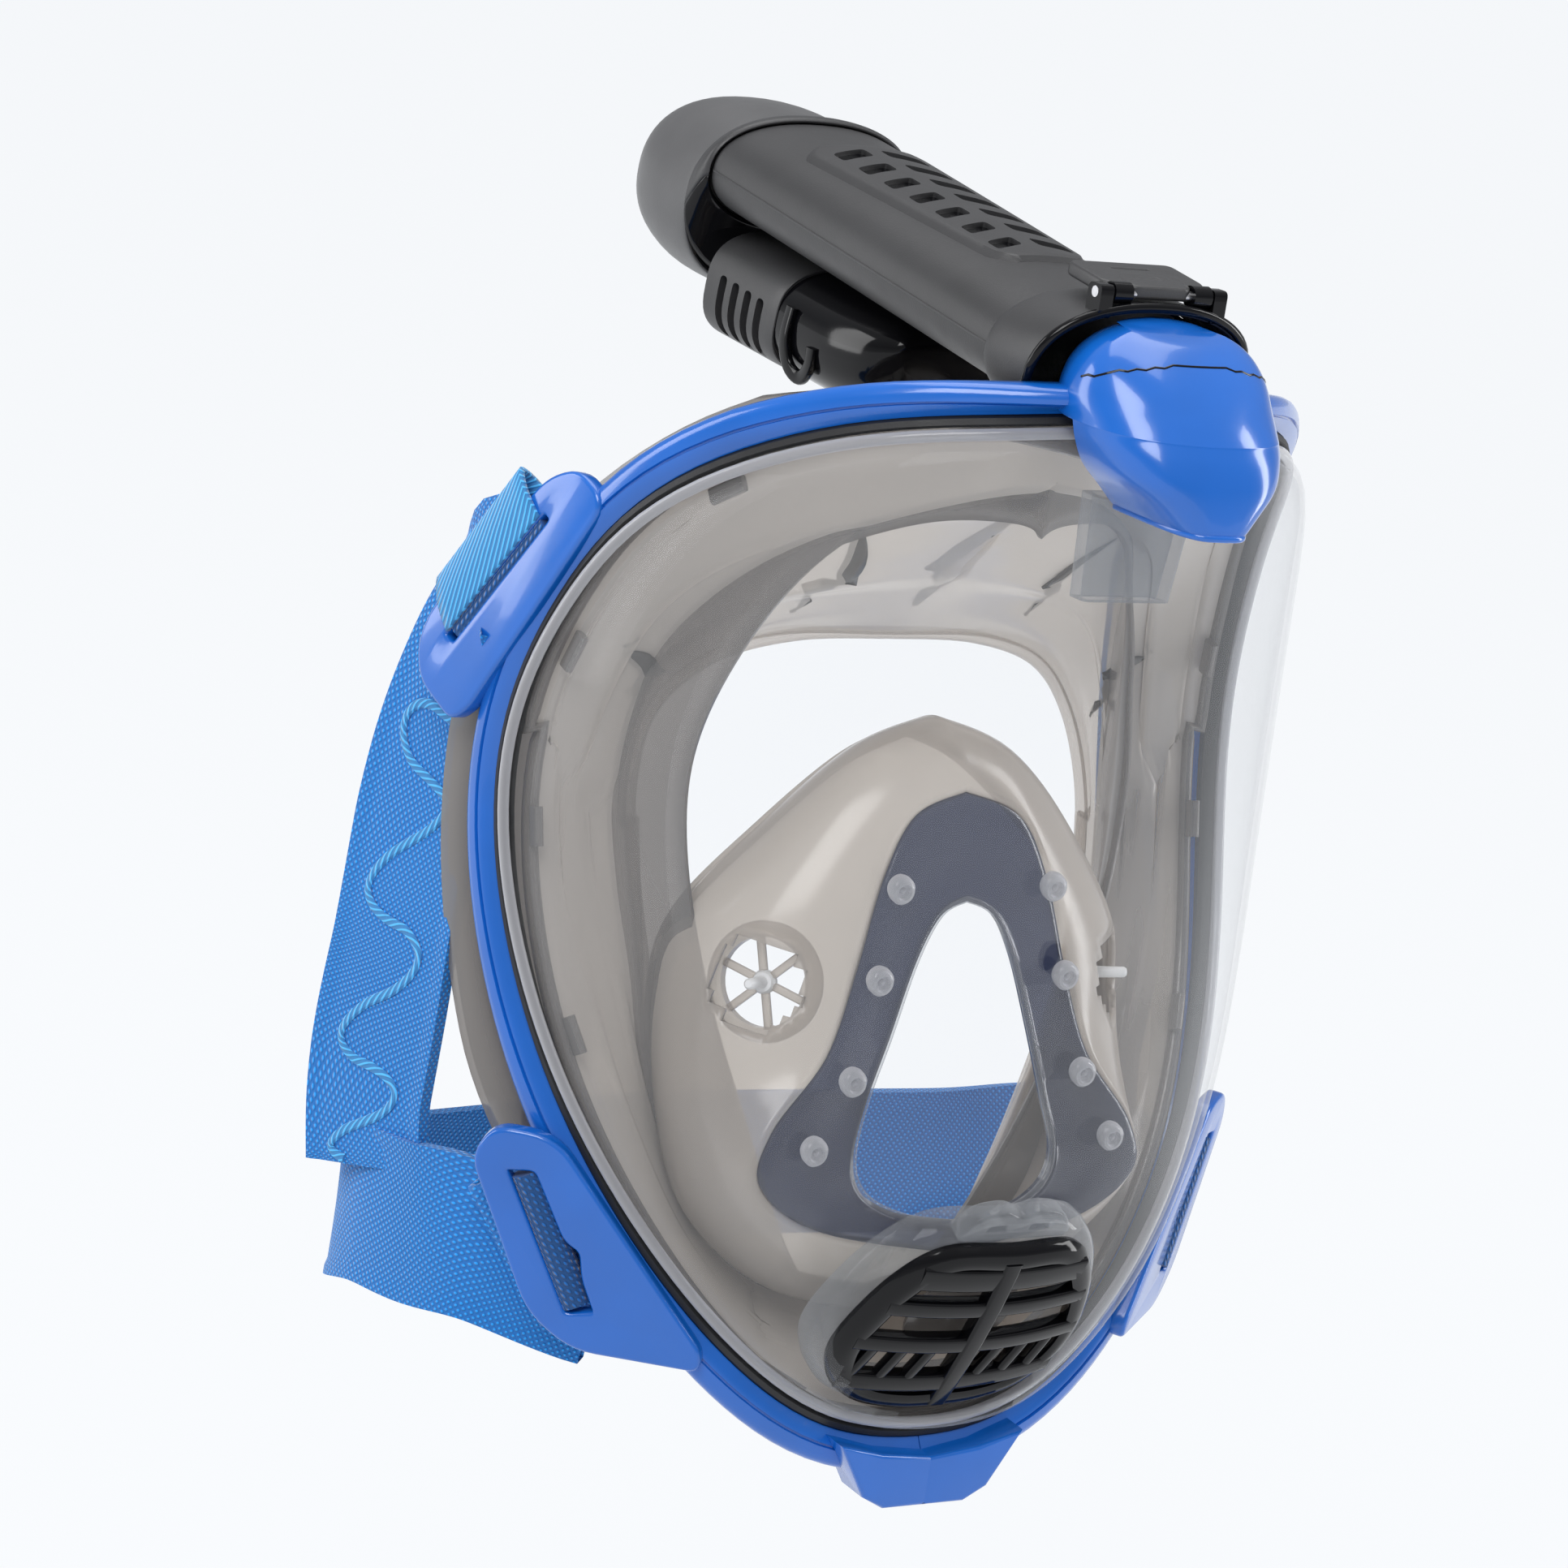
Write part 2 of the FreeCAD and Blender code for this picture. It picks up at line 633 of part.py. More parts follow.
panel_low = size("tube_half_height") + size("tube_lift") - 0.6
PANEL_FOOT = [(-16, 48), (16, 48), (19, 132), (-19, 132), (-16, 48)]
PANEL_TOP = [(-14, 50), (14, 50), (17, 130), (-17, 130), (-14, 50)]
panel = Part.makeLoft([Part.makePolygon([Vector(x, y, panel_low - 3) for x, y in PANEL_FOOT]),
                       Part.makePolygon([Vector(x, y, panel_low + 1.9) for x, y in PANEL_TOP])],
                      True, True)
tube_skin = oval_loft([(20, 26.5, 12.65, 1.3), (160, 26.5, 12.65, 1.3)])
crown = oval_loft([(20, 27.9, 14.1, 1.3), (160, 27.9, 14.1, 1.3)])
snorkel_feature("tube_panel", panel.common(crown).cut(tube_skin))

band = oval_loft([(151.1, 27.4, 14, 1.0), (156.9, 28.0, 20, -6.0)])
band = band.cut(oval_loft([(150, 23, 9.5, 1.3), (158, 23, 14, -5)]))
snorkel_feature("waist_band", band)

cap = oval_loft([(157.0, 28.2, 21.5, -8.5), (172, 28.0, 22.0, -9.5), (188, 25, 19.5, -9.5),
                 (198, 17, 13.5, -10), (202.5, 8, 7, -10)])
cap = cap.cut(oval_loft([(156, 25.6, 18.8, -8.5), (172, 25.4, 19.4, -9.5), (186, 22, 16.5, -9.5),
                         (196, 13, 10, -10)]))
snorkel_feature("snorkel_cap", cap)

housing = oval_loft([(76, 14, 8, -20), (84, 19.5, 12, -23), (120, 21, 13, -25), (150.8, 22, 13.5, -26)])
housing = housing.cut(oval_loft([(80, 12, 6, -20), (88, 17, 9.4, -23), (120, 18.6, 10.4, -25),
                                 (152, 19.6, 10.9, -26)]))
for slot_start in (126, 132, 138, 144):
    housing = housing.cut(Part.makeBox(60, 2.6, 11, Vector(-30, slot_start, -31)))
housing = housing.cut(tube_skin)
snorkel_feature("float_housing", housing)

float_body = oval_loft([(104, 14.5, 7.2, -25), (128, 15.5, 8, -25.5)])
snorkel_feature("float_body", float_body)
float_seal = oval_loft([(128, 13, 6.2, -25.5), (130.5, 13, 6.2, -25.5)])
snorkel_feature("float_seal", float_seal)
seat = oval_loft([(138.5, 16.4, 8.4, -25.6), (141.5, 16.4, 8.4, -25.6)])
seat = seat.cut(oval_loft([(138, 9.5, 4.4, -26), (142, 9.5, 4.4, -26)]))
snorkel_feature("float_seat", seat)


# ---------------------------------------------------------------- harness

def webbing(path, facings):
    """A flat band through the points of path. facings gives each point's width direction."""
    half = size("strap_width") / 2
    thickness = size("strap_thick") / 2
    wires = []
    for index, point in enumerate(path):
        ahead = path[min(index + 1, len(path) - 1)]
        behind = path[max(index - 1, 0)]
        run = (ahead - behind).normalize()
        across = facings[index] - run * facings[index].dot(run)
        across.normalize()
        up = run.cross(across).normalize() * thickness
        across = across * half
        corners = [point - across - up, point + across - up, point + across + up, point - across + up]
        wires.append(Part.makePolygon(corners + corners[:1]))
    return Part.makeLoft(wires, True, False)


side_path = [upper.at(25, 8.5, -13), Vector(-109, 17, 40), Vector(-107, 20, 8), Vector(-103, 21, -38),
             Vector(-100, 26, -73)]
side_facing = [upper.run, Vector(0, 0.6, 0.7), Vector(0, 1, 0.1), Vector(0, 1, 0), Vector(0, 1, 0)]
feature("strap_side_right", webbing(side_path, side_facing))
feature("strap_side_left", mirrored(doc.getObject("strap_side_right_feature").Shape))
lower_path = [lower.at(19, -7, 9), Vector(-91, -20, -90), Vector(-99, 2, -95), Vector(-97, 24, -96),
              Vector(-84, 46, -93), Vector(-50, 58, -90), Vector(0, 62, -90)]
lower_path += [Vector(-point.x, point.y, point.z) for point in reversed(lower_path[:-1])]
lower_facing = [lower.run] + [Vector(0, 0, 1)] * (len(lower_path) - 2)
lower_facing.append(Vector(-lower.run.x, lower.run.y, lower.run.z))
feature("strap_lower", webbing(lower_path, lower_facing))

screws = []
for x in (-SCREW_X, SCREW_X):
    screws.append(primitive("Cylinder", along((x, SCREW_FOOT.y, SCREW_FOOT.z), (0, 0, 1)),
                            Radius="sizes.screw_radius", Height="sizes.screw_length"))
screw_group = doc.addObject("Part::Compound", "screws")
screw_group.Links = screws
keep(screw_group, "frame_screws")

# ---------------------------------------------------------------- checks and files

doc.recompute()
for obj in doc.Objects:
    if "Invalid" in obj.State or "Error" in obj.State:
        raise RuntimeError(f"{obj.Name} ({obj.Label}) failed: {obj.State}")
for obj in nodes:
    if obj.Shape.isNull() or not obj.Shape.isValid():
        raise RuntimeError(f"{obj.Label} has no valid shape")
    obj.Shape.exportStep(f"parts/{obj.Label}.step")
    box = obj.Shape.BoundBox
    print(f"{obj.Label:20s} solids {len(obj.Shape.Solids)} volume {obj.Shape.Volume:10.0f}"
          f"  x {box.XMin:.1f}..{box.XMax:.1f} y {box.YMin:.1f}..{box.YMax:.1f}"
          f" z {box.ZMin:.1f}..{box.ZMax:.1f}")
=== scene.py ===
"""Full-face snorkel mask: the looks of each piece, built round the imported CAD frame.

+X is the wearer's left, -Y is forward, +Z is up, as in the frame. Shapes are written in
millimetres and become metres when their mesh is made."""

import math

import bmesh
import bpy
import numpy as np
from mathutils import Matrix, Vector


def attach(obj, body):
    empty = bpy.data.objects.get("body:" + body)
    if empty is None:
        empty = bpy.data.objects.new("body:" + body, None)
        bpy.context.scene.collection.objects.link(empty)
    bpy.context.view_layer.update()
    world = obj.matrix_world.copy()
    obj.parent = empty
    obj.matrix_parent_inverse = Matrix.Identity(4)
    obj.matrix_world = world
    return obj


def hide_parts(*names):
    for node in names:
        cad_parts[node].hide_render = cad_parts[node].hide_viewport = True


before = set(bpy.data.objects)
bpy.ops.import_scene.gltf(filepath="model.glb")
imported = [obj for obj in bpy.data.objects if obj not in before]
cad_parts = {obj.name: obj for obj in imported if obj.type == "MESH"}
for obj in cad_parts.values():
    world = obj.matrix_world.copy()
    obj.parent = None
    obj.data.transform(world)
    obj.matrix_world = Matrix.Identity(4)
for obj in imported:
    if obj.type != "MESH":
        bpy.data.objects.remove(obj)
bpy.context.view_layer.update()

MM = 0.001
scene = bpy.context.scene


# ---------------------------------------------------------------- materials

def new_material(name):
    material = bpy.data.materials.new(name)
    material.use_nodes = True
    return material, material.node_tree.nodes, material.node_tree.links


def add_noise(nodes, links, scale, detail=3.0):
    """Noise over the object's own coordinates, scale in waves per metre."""
    coordinates = nodes.new("ShaderNodeTexCoord")
    noise = nodes.new("ShaderNodeTexNoise")
    noise.inputs["Scale"].default_value = scale
    noise.inputs["Detail"].default_value = detail
    links.new(coordinates.outputs["Object"], noise.inputs["Vector"])
    return noise.outputs["Fac"]


def add_bump(nodes, links, height, strength, distance):
    bump = nodes.new("ShaderNodeBump")
    bump.inputs["Strength"].default_value = strength
    bump.inputs["Distance"].default_value = distance
    links.new(height, bump.inputs["Height"])
    return bump.outputs["Normal"]


def add_shades(nodes, links, factor, low, high):
    """A colour that runs from low to high with a factor."""
    ramp = nodes.new("ShaderNodeValToRGB")
    ramp.color_ramp.elements[0].position = 0.3
    ramp.color_ramp.elements[1].position = 0.7
    ramp.color_ramp.elements[0].color = (*low, 1)
    ramp.color_ramp.elements[1].color = (*high, 1)
    links.new(factor, ramp.inputs["Fac"])
    return ramp.outputs["Color"]


def add_range(nodes, links, factor, low, high):
    ranger = nodes.new("ShaderNodeMapRange")
    ranger.inputs["To Min"].default_value = low
    ranger.inputs["To Max"].default_value = high
    links.new(factor, ranger.inputs["Value"])
    return ranger.outputs["Result"]


def plastic(name, color, roughness, grain=900, bump=0.04, vary=0.1, coat=0.0,
            specular=0.5):
    """Moulded plastic: uneven gloss, a faint shade variation and a fine surface grain."""
    material, nodes, links = new_material(name)
    shader = nodes["Principled BSDF"]
    broad = add_noise(nodes, links, 45)
    low = [channel * (1 - vary) for channel in color]
    high = [min(1, channel * (1 + vary)) for channel in color]
    links.new(add_shades(nodes, links, broad, low, high), shader.inputs["Base Color"])
    links.new(add_range(nodes, links, add_noise(nodes, links, 160), roughness * 0.85,
                        roughness * 1.2), shader.inputs["Roughness"])
    fine = add_noise(nodes, links, grain)
    links.new(add_bump(nodes, links, fine, bump, 0.0004), shader.inputs["Normal"])
    shader.inputs["Specular IOR Level"].default_value = specular
    shader.inputs["Coat Weight"].default_value = coat
    shader.inputs["Coat Roughness"].default_value = 0.06
    return material


def see_through(name, tint, gloss, roughness, facing, edge, power=2.5, waves=0.0):
    """A clear or tinted moulding: transparent where it faces the eye, glossy at its edges."""
    material, nodes, links = new_material(name)
    shader = nodes["Principled BSDF"]
    shader.inputs["Base Color"].default_value = (*gloss, 1)
    shader.inputs["Roughness"].default_value = roughness
    shader.inputs["Specular IOR Level"].default_value = 0.8
    clear = nodes.new("ShaderNodeBsdfTransparent")
    clear.inputs["Color"].default_value = (*tint, 1)
    weight = nodes.new("ShaderNodeLayerWeight")
    weight.inputs["Blend"].default_value = 0.5
    curve = nodes.new("ShaderNodeMath")
    curve.operation = "POWER"
    curve.inputs[1].default_value = power
    links.new(weight.outputs["Facing"], curve.inputs[0])
    mix = nodes.new("ShaderNodeMixShader")
    links.new(add_range(nodes, links, curve.outputs["Value"], facing, edge), mix.inputs["Fac"])
    links.new(clear.outputs["BSDF"], mix.inputs[1])
    links.new(shader.outputs["BSDF"], mix.inputs[2])
    links.new(mix.outputs["Shader"], nodes["Material Output"].inputs["Surface"])
    if waves:
        normal = add_bump(nodes, links, add_noise(nodes, links, 22, 1.0), waves, 0.004)
        links.new(normal, shader.inputs["Normal"])
    return material


def add_bands(nodes, links, uv, angle, pitch):
    """Stripes across the weave map, pitch in its own millimetres."""
    turn = nodes.new("ShaderNodeMapping")
    turn.inputs["Rotation"].default_value[2] = math.radians(angle)
    wave = nodes.new("ShaderNodeTexWave")
    wave.inputs["Scale"].default_value = 2 * math.pi / (20 * pitch)
    wave.inputs["Distortion"].default_value = 0.6
    links.new(uv, turn.inputs["Vector"])
    links.new(turn.outputs["Vector"], wave.inputs["Vector"])
    return wave.outputs["Fac"]


def knitted(name, color, angles=(52, -38), pitch=1.25, bump=0.8):
    """Elastic webbing: two crossing sets of knit ribs, with painted shade in the valleys and painted light
    on the crests, and sheen.
    """
    material, nodes, links = new_material(name)
    shader = nodes["Principled BSDF"]
    weave = nodes.new("ShaderNodeUVMap")
    weave.uv_map = "weave"
    product = nodes.new("ShaderNodeMath")
    product.operation = "MULTIPLY"
    links.new(add_bands(nodes, links, weave.outputs["UV"], angles[0], pitch), product.inputs[0])
    links.new(add_bands(nodes, links, weave.outputs["UV"], angles[1], pitch), product.inputs[1])
    # Painted shade and light: the valleys take half the webbing's colour, and the crests a quarter more.
    valley_shade = [channel * 0.5 for channel in color]
    crest_light = [min(1, channel * 1.25) for channel in color]
    links.new(add_shades(nodes, links, product.outputs["Value"], valley_shade, crest_light),
              shader.inputs["Base Color"])
    links.new(add_bump(nodes, links, product.outputs["Value"], bump, 0.0005),
              shader.inputs["Normal"])
    shader.inputs["Roughness"].default_value = 0.75
    shader.inputs["Sheen Weight"].default_value = 0.35
    shader.inputs["Sheen Roughness"].default_value = 0.4
    return material


def metal(name, color, roughness):
    material = plastic(name, color, roughness, grain=2500, bump=0.08)
    material.node_tree.nodes["Principled BSDF"].inputs["Metallic"].default_value = 1.0
    return material


BLUE = plastic("blue_plastic", (0.006, 0.125, 0.54), 0.2, bump=0.02, vary=0.06, coat=0.5)
SATIN = plastic("satin_grey", (0.040, 0.040, 0.042), 0.40, grain=2600, bump=0.12)
CAP_GREY = plastic("cap_grey", (0.095, 0.095, 0.098), 0.38, grain=2600, bump=0.12)
BLACK = plastic("gloss_black", (0.003, 0.003, 0.004), 0.10, bump=0.01, specular=0.28)
RUBBER = plastic("black_rubber", (0.012, 0.012, 0.013), 0.5, grain=1800, bump=0.15)
CLEAR = see_through("clear_lens", (0.99, 0.992, 0.995), (0.80, 0.82, 0.85), 0.02, 0.05, 0.45,
                    4.0, waves=0.05)
CLEAR_THICK = see_through("clear_moulding", (0.90, 0.91, 0.92), (0.42, 0.43, 0.45), 0.04, 0.14,
                          0.85, 1.8, waves=0.25)
BEAD = see_through("clear_bead", (0.62, 0.63, 0.65), (0.62, 0.62, 0.65), 0.05, 0.40, 0.95, 1.2)
SILICONE = see_through("silicone", (0.93, 0.90, 0.87), (0.74, 0.69, 0.635), 0.17, 0.30, 0.86,
                       1.3, waves=0.35)
SILICONE_DARK = see_through("silicone_dark", (0.66, 0.63, 0.61), (0.24, 0.225, 0.215), 0.14, 0.46,
                            0.94, 1.2, waves=0.3)
FIN = see_through("silicone_fin", (0.55, 0.52, 0.50), (0.12, 0.115, 0.11), 0.25, 0.55, 0.97, 1.2,
                  waves=0.3)
POCKET = see_through("pocket_silicone", (0.86, 0.82, 0.77), (0.56, 0.51, 0.46), 0.19, 0.42, 0.93,
                     1.2, waves=0.25)
NAVY = see_through("navy_frame", (0.26, 0.29, 0.40), (0.04, 0.047, 0.085), 0.14, 0.5, 0.95, 1.3,
                   waves=0.15)
AZURE = knitted("azure_knit", (0.010, 0.30, 1.0))
# Painted shade: the webbing's roll inside each lug slot is a darker copy of the azure knit.
AZURE_ROLL_SHADED = knitted("azure_roll_shaded", (0.006, 0.12, 0.42), (90, 35), 1.5, 1.0)
AZURE_BEAD = knitted("azure_bead", (0.07, 0.42, 1.0), (60, 60), 1.4, 0.6)
WHITE = plastic("white_stem", (0.8, 0.8, 0.8), 0.3)
FOAM = plastic("float_foam", (0.75, 0.30, 0.05), 0.6, grain=1500, bump=0.3)
STEEL = metal("screw_steel", (0.6, 0.6, 0.62), 0.28)


# ---------------------------------------------------------------- shapes

def spline(points, count, closed=False):
    """A smooth path of count points through the given ones, evenly shared between them."""
    points = [np.array(point, float) for point in points]
    spans = len(points) if closed else len(points) - 1
    path = []
    for step in range(count):
        place = spans * step / (count if closed else count - 1)
        span = min(int(place), spans - 1)
        part = place - span

        def near(offset):
            if closed:
                return points[(span + offset) % len(points)]
            return points[min(max(span + offset, 0), len(points) - 1)]

        before, start, end, after = near(-1), near(0), near(1), near(2)
        path.append(0.5 * (2 * start + (end - before) * part
                           + (2 * before - 5 * start + 4 * end - after) * part ** 2
                           + (3 * start - before - 3 * end + after) * part ** 3))
    return path


def unit(vector):
    return vector / (np.linalg.norm(vector) or 1)


def mirror(points):
    """The same places on the wearer's other side."""
    return [np.array([-p[0], p[1], p[2]]) for p in points]


SIDES = ((1, "right"), (-1, "left"))


def on_side(points, side):
    """The given places, or their mirror images where side is -1."""
    return points if side > 0 else mirror(points)


def mirrored_loop(half):
    """A whole loop from its right half, whose first and last points lie in the middle."""
    return list(half) + mirror(reversed(half[1:-1]))


def mirrored_rows(half):
    """The same for rows of points."""
    return half + [mirror(row) for row in reversed(half[1:-1])]


def add_object(name, mesh, body, nodes=()):
    obj = bpy.data.objects.new(name, mesh)
    scene.collection.objects.link(obj)
    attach(obj, body)
    if nodes:
        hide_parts(*nodes)
    return obj


def tidy_mesh(mesh, sharp=38):
    """Outward normals and smooth shading, broken only at real edges."""
    work = bmesh.new()
    work.from_mesh(mesh)
    bmesh.ops.remove_doubles(work, verts=work.verts, dist=1e-6)
    bmesh.ops.recalc_face_normals(work, faces=work.faces)
    work.to_mesh(mesh)
    work.free()
    mesh.polygons.foreach_set("use_smooth", [True] * len(mesh.polygons))
    mesh.set_sharp_from_angle(angle=math.radians(sharp))


def surface_mesh(name, rows, ring=False, loop=True, caps=False, keep=None):
    """A mesh through rows of points, and the (row, column) corners of each face.

    loop closes each row, ring joins the last row to the first, caps closes both ends.
    keep is asked for each face's middle, and drops the face where it says no."""
    height, width = len(rows), len(rows[0])
    points = [tuple(np.array(point) * MM) for row in rows for point in row]
    faces, corners = [], []
    for i in range(height if ring else height - 1):
        for j in range(width if loop else width - 1):
            quad = [(i, j), (i, j + 1), (i + 1, j + 1), (i + 1, j)]
            if keep:
                middle = sum(np.array(rows[a % height][b % width]) for a, b in quad) / 4
                if not keep(middle):
                    continue
            faces.append([(a % height) * width + b % width for a, b in quad])
            corners.append(quad)
    if caps:
        faces.append(list(range(width)))
        faces.append([(height - 1) * width + j for j in range(width)])
    mesh = bpy.data.meshes.new(name)
    mesh.from_pydata(points, [], faces)
    return mesh, corners


def running_lengths(points):
    """How far each point of a closed line lies from its first, then the whole length."""
    ahead = list(points[1:]) + [points[0]]
    return np.cumsum([0] + [np.linalg.norm(np.array(b) - a) for a, b in zip(points, ahead)])


def grid(name, rows, material, body="mask", slot="frame", nodes=(), weave=False, thick=0.0,
         sharp=38, **shape):
    """A piece with a surface through rows of points. shape goes to surface_mesh."""
    mesh, corners = surface_mesh(name, rows, **shape)
    if weave:
        along = running_lengths([row[0] for row in rows])
        across = running_lengths(rows[0])
        layer = mesh.uv_layers.new(name="weave")
        places = [(along[a], across[b]) for quad in corners for a, b in quad]
        for at, place in enumerate(places):
            layer.data[at].uv = place
    mesh.materials.append(material)
    tidy_mesh(mesh, sharp)
    obj = add_object(name, mesh, body, nodes)
    if thick:
        shell = obj.modifiers.new("wall", "SOLIDIFY")
        shell.thickness = thick * MM
        shell.offset = 0
    return obj


def sweep_rows(path, section, up, closed=False):
    """Section points (side, up) carried along a path. up is one direction or one per point."""
    rows = []
    count = len(path)
    for index, point in enumerate(path):
        ahead = path[(index + 1) % count] if closed else path[min(index + 1, count - 1)]
        behind = path[index - 1] if closed else path[max(index - 1, 0)]
        run = unit(np.array(ahead) - np.array(behind))
        top = np.array(up[index] if np.ndim(up) > 1 else up, float)
        top = unit(top - run * np.dot(top, run))
        side = np.cross(run, top)
        corners = section(index / (count - 1)) if callable(section) else section
        rows.append([np.array(point) + side * a + top * b for a, b in corners])
    return rows


def sweep(name, path, section, up, material, closed=False, **options):
    rows = sweep_rows(path, section, up, closed)
    return grid(name, rows, material, ring=closed, caps=not closed, **options)


def circle(radius, count=12, flat=1.0):
    return [(radius * math.cos(2 * math.pi * k / count),
             radius * flat * math.sin(2 * math.pi * k / count)) for k in range(count)]


def rounded_box(half_wide, half_tall, radius, steps=3):
    """A rectangle with round corners, as a section."""
    corners = []
    for turn, (x, y) in enumerate([(1, 1), (-1, 1), (-1, -1), (1, -1)]):
        for step in range(steps + 1):
            angle = math.pi / 2 * (turn + step / steps)
            corners.append((x * (half_wide - radius) + radius * math.cos(angle),
                            y * (half_tall - radius) + radius * math.sin(angle)))
    return corners


def rounded_outline(points, radius, steps=5):
    """A flat outline whose corners are eased by a radius."""
    result = []
    count = len(points)
    for index in range(count):
        corner = np.array(points[index], float)
        before = np.array(points[index - 1], float) - corner
        after = np.array(points[(index + 1) % count], float) - corner
        reach = min(radius, np.linalg.norm(before) * 0.45, np.linalg.norm(after) * 0.45)
        start = corner + unit(before) * reach
        end = corner + unit(after) * reach
        for step in range(steps + 1):
            t = step / steps
            result.append((1 - t) ** 2 * start + 2 * t * (1 - t) * corner + t * t * end)
    return result


def applied_mesh(obj):
    """An object's mesh with its modifiers or its curve settings applied."""
    evaluated = obj.evaluated_get(bpy.context.evaluated_depsgraph_get())
    return bpy.data.meshes.new_from_object(evaluated)


def plate_mesh(name, outlines, thick, bevel):
    """A flat plate from an outline and its holes, with rounded edges, as a mesh on Z = 0."""
    curve = bpy.data.curves.new(name, "CURVE")
    curve.dimensions = "2D"
    curve.fill_mode = "BOTH"
    curve.extrude = (thick / 2 - bevel) * MM
    curve.bevel_depth = bevel * MM
    curve.bevel_resolution = 3
    for outline in outlines:
        line = curve.splines.new("POLY")
        line.points.add(len(outline) - 1)
        for point, (x, y) in zip(line.points, outline):
            point.co = (x * MM, y * MM, 0, 1)
        line.use_cyclic_u = True
    holder = bpy.data.objects.new(name, curve)
    scene.collection.objects.link(holder)
    mesh = applied_mesh(holder)
    bpy.data.objects.remove(holder)
    bpy.data.curves.remove(curve)
    return mesh


def plate(name, outlines, thick, bevel, place, material, body="mask", nodes=()):
    mesh = plate_mesh(name, outlines, thick, bevel)
    mesh.transform(place)
    mesh.materials.clear()
    mesh.materials.append(material)
    tidy_mesh(mesh)
    return add_object(name, mesh, body, nodes)


def axes(origin, side, up, out):
    """A matrix that carries local X, Y, Z to side, up and out, at an origin in millimetres."""
    matrix = Matrix.Identity(4)
    for column, direction in enumerate((side, up, out)):
        for row in range(3):
            matrix[row][column] = direction[row]
    for row in range(3):
        matrix[row][3] = origin[row] * MM
    return matrix


def carve(obj, cutters):
    """Cuts solids out of a piece for good, then removes them."""
    for cutter in cutters:
        modifier = obj.modifiers.new("cut", "BOOLEAN")
        modifier.operation = "DIFFERENCE"
        modifier.solver = "EXACT"
        modifier.object = cutter
    bpy.context.view_layer.update()
    mesh = applied_mesh(obj)
    obj.modifiers.clear()
    obj.data = mesh
    tidy_mesh(mesh, 32)
    for cutter in cutters:
        bpy.data.objects.remove(cutter)


def cutter(name, rows):
    """A closed solid for carve, which is no piece of the object."""
    mesh, _ = surface_mesh(name, rows, caps=True)
    tidy_mesh(mesh)
    obj = bpy.data.objects.new(name, mesh)
    scene.collection.objects.link(obj)
    return obj


def join(first, *others):
    """Welds pieces of one material into the first one's mesh."""
    work = bmesh.new()
    work.from_mesh(first.data)
    for other in others:
        work.from_mesh(other.data)
        bpy.data.objects.remove(other)
    work.to_mesh(first.data)
    work.free()
    first.data.polygons.foreach_set("use_smooth", [True] * len(first.data.polygons))
    first.data.set_sharp_from_angle(angle=math.radians(38))


# ---------------------------------------------------------------- the wrap round the face

WRAP_HALF, WRAP_NARROWING, WRAP_DEPTH, WRAP_TAPER, WRAP_BACK = 107, 0.1, 121, 0.144, 0.3
LENS_RISE = 10.0
FACING_TURN = 1.2
RIM_HALF = [(0, 117), (-31, 114), (-56, 107), (-77, 90), (-91, 57), (-97, 19), (-96.5, -12),
            (-86.5, -54), (-69, -85), (-47.5, -108.5), (-24, -123), (0, -126.5)]


def wrap(x, height, rise=0.0):
    """How far forward the wrapped surface lies, at rise outside the frame's own."""
    scale = WRAP_DEPTH + WRAP_TAPER * height
    across = min(abs(x) / (WRAP_HALF - WRAP_NARROWING * height + 0.6 * rise), 0.999)
    return (scale + rise) * math.sqrt(1 - across ** 2) - WRAP_BACK * scale


class Rim:
    """The closed smooth curve where the lens meets the frame, seen from the front."""

    def __init__(self):
        half = [np.array(point, float) for point in RIM_HALF]
        points = half + [np.array([-x, z]) for x, z in reversed(half[1:-1])]
        count = len(points)
        step = [np.linalg.norm(points[(k + 1) % count] - points[k]) for k in range(count)]
        system = np.zeros((count, count))
        target = np.zeros((count, 2))
        for k in range(count):
            before, after = step[k - 1], step[k]
            system[k, k - 1] += after
            system[k, k] += 2 * (before + after)
            system[k, (k + 1) % count] += before
            target[k] = 3 * (after * (points[k] - points[k - 1]) / before
                             + before * (points[(k + 1) % count] - points[k]) / after)
        self.points, self.step = points, step
        self.slopes = np.linalg.solve(system, target)
        self.half_length = sum(step[:len(half) - 1])

    def at(self, share):
        """The point at a share of the way from the top to the chin, on the wearer's right."""
        place = share * self.half_length
        place %= 2 * self.half_length
        k = 0
        while place > self.step[k] and k < len(self.step) - 1:
            place -= self.step[k]
            k += 1
        length = self.step[k]
        t = place / length
        start, end = self.points[k], self.points[(k + 1) % len(self.points)]
        a, b = self.slopes[k] * length, self.slopes[(k + 1) % len(self.points)] * length
        return ((2 * t ** 3 - 3 * t * t + 1) * start + (t ** 3 - 2 * t * t + t) * a
                + (3 * t * t - 2 * t ** 3) * end + (t ** 3 - t * t) * b)

    def outward(self, share):
        run = self.at(share + 1e-4) - self.at(share - 1e-4)
        normal = unit(np.array([run[1], -run[0]]))
        middle = self.at(share) - np.array([0, -5])
        return normal if np.dot(normal, middle) > 0 else -normal


rim = Rim()


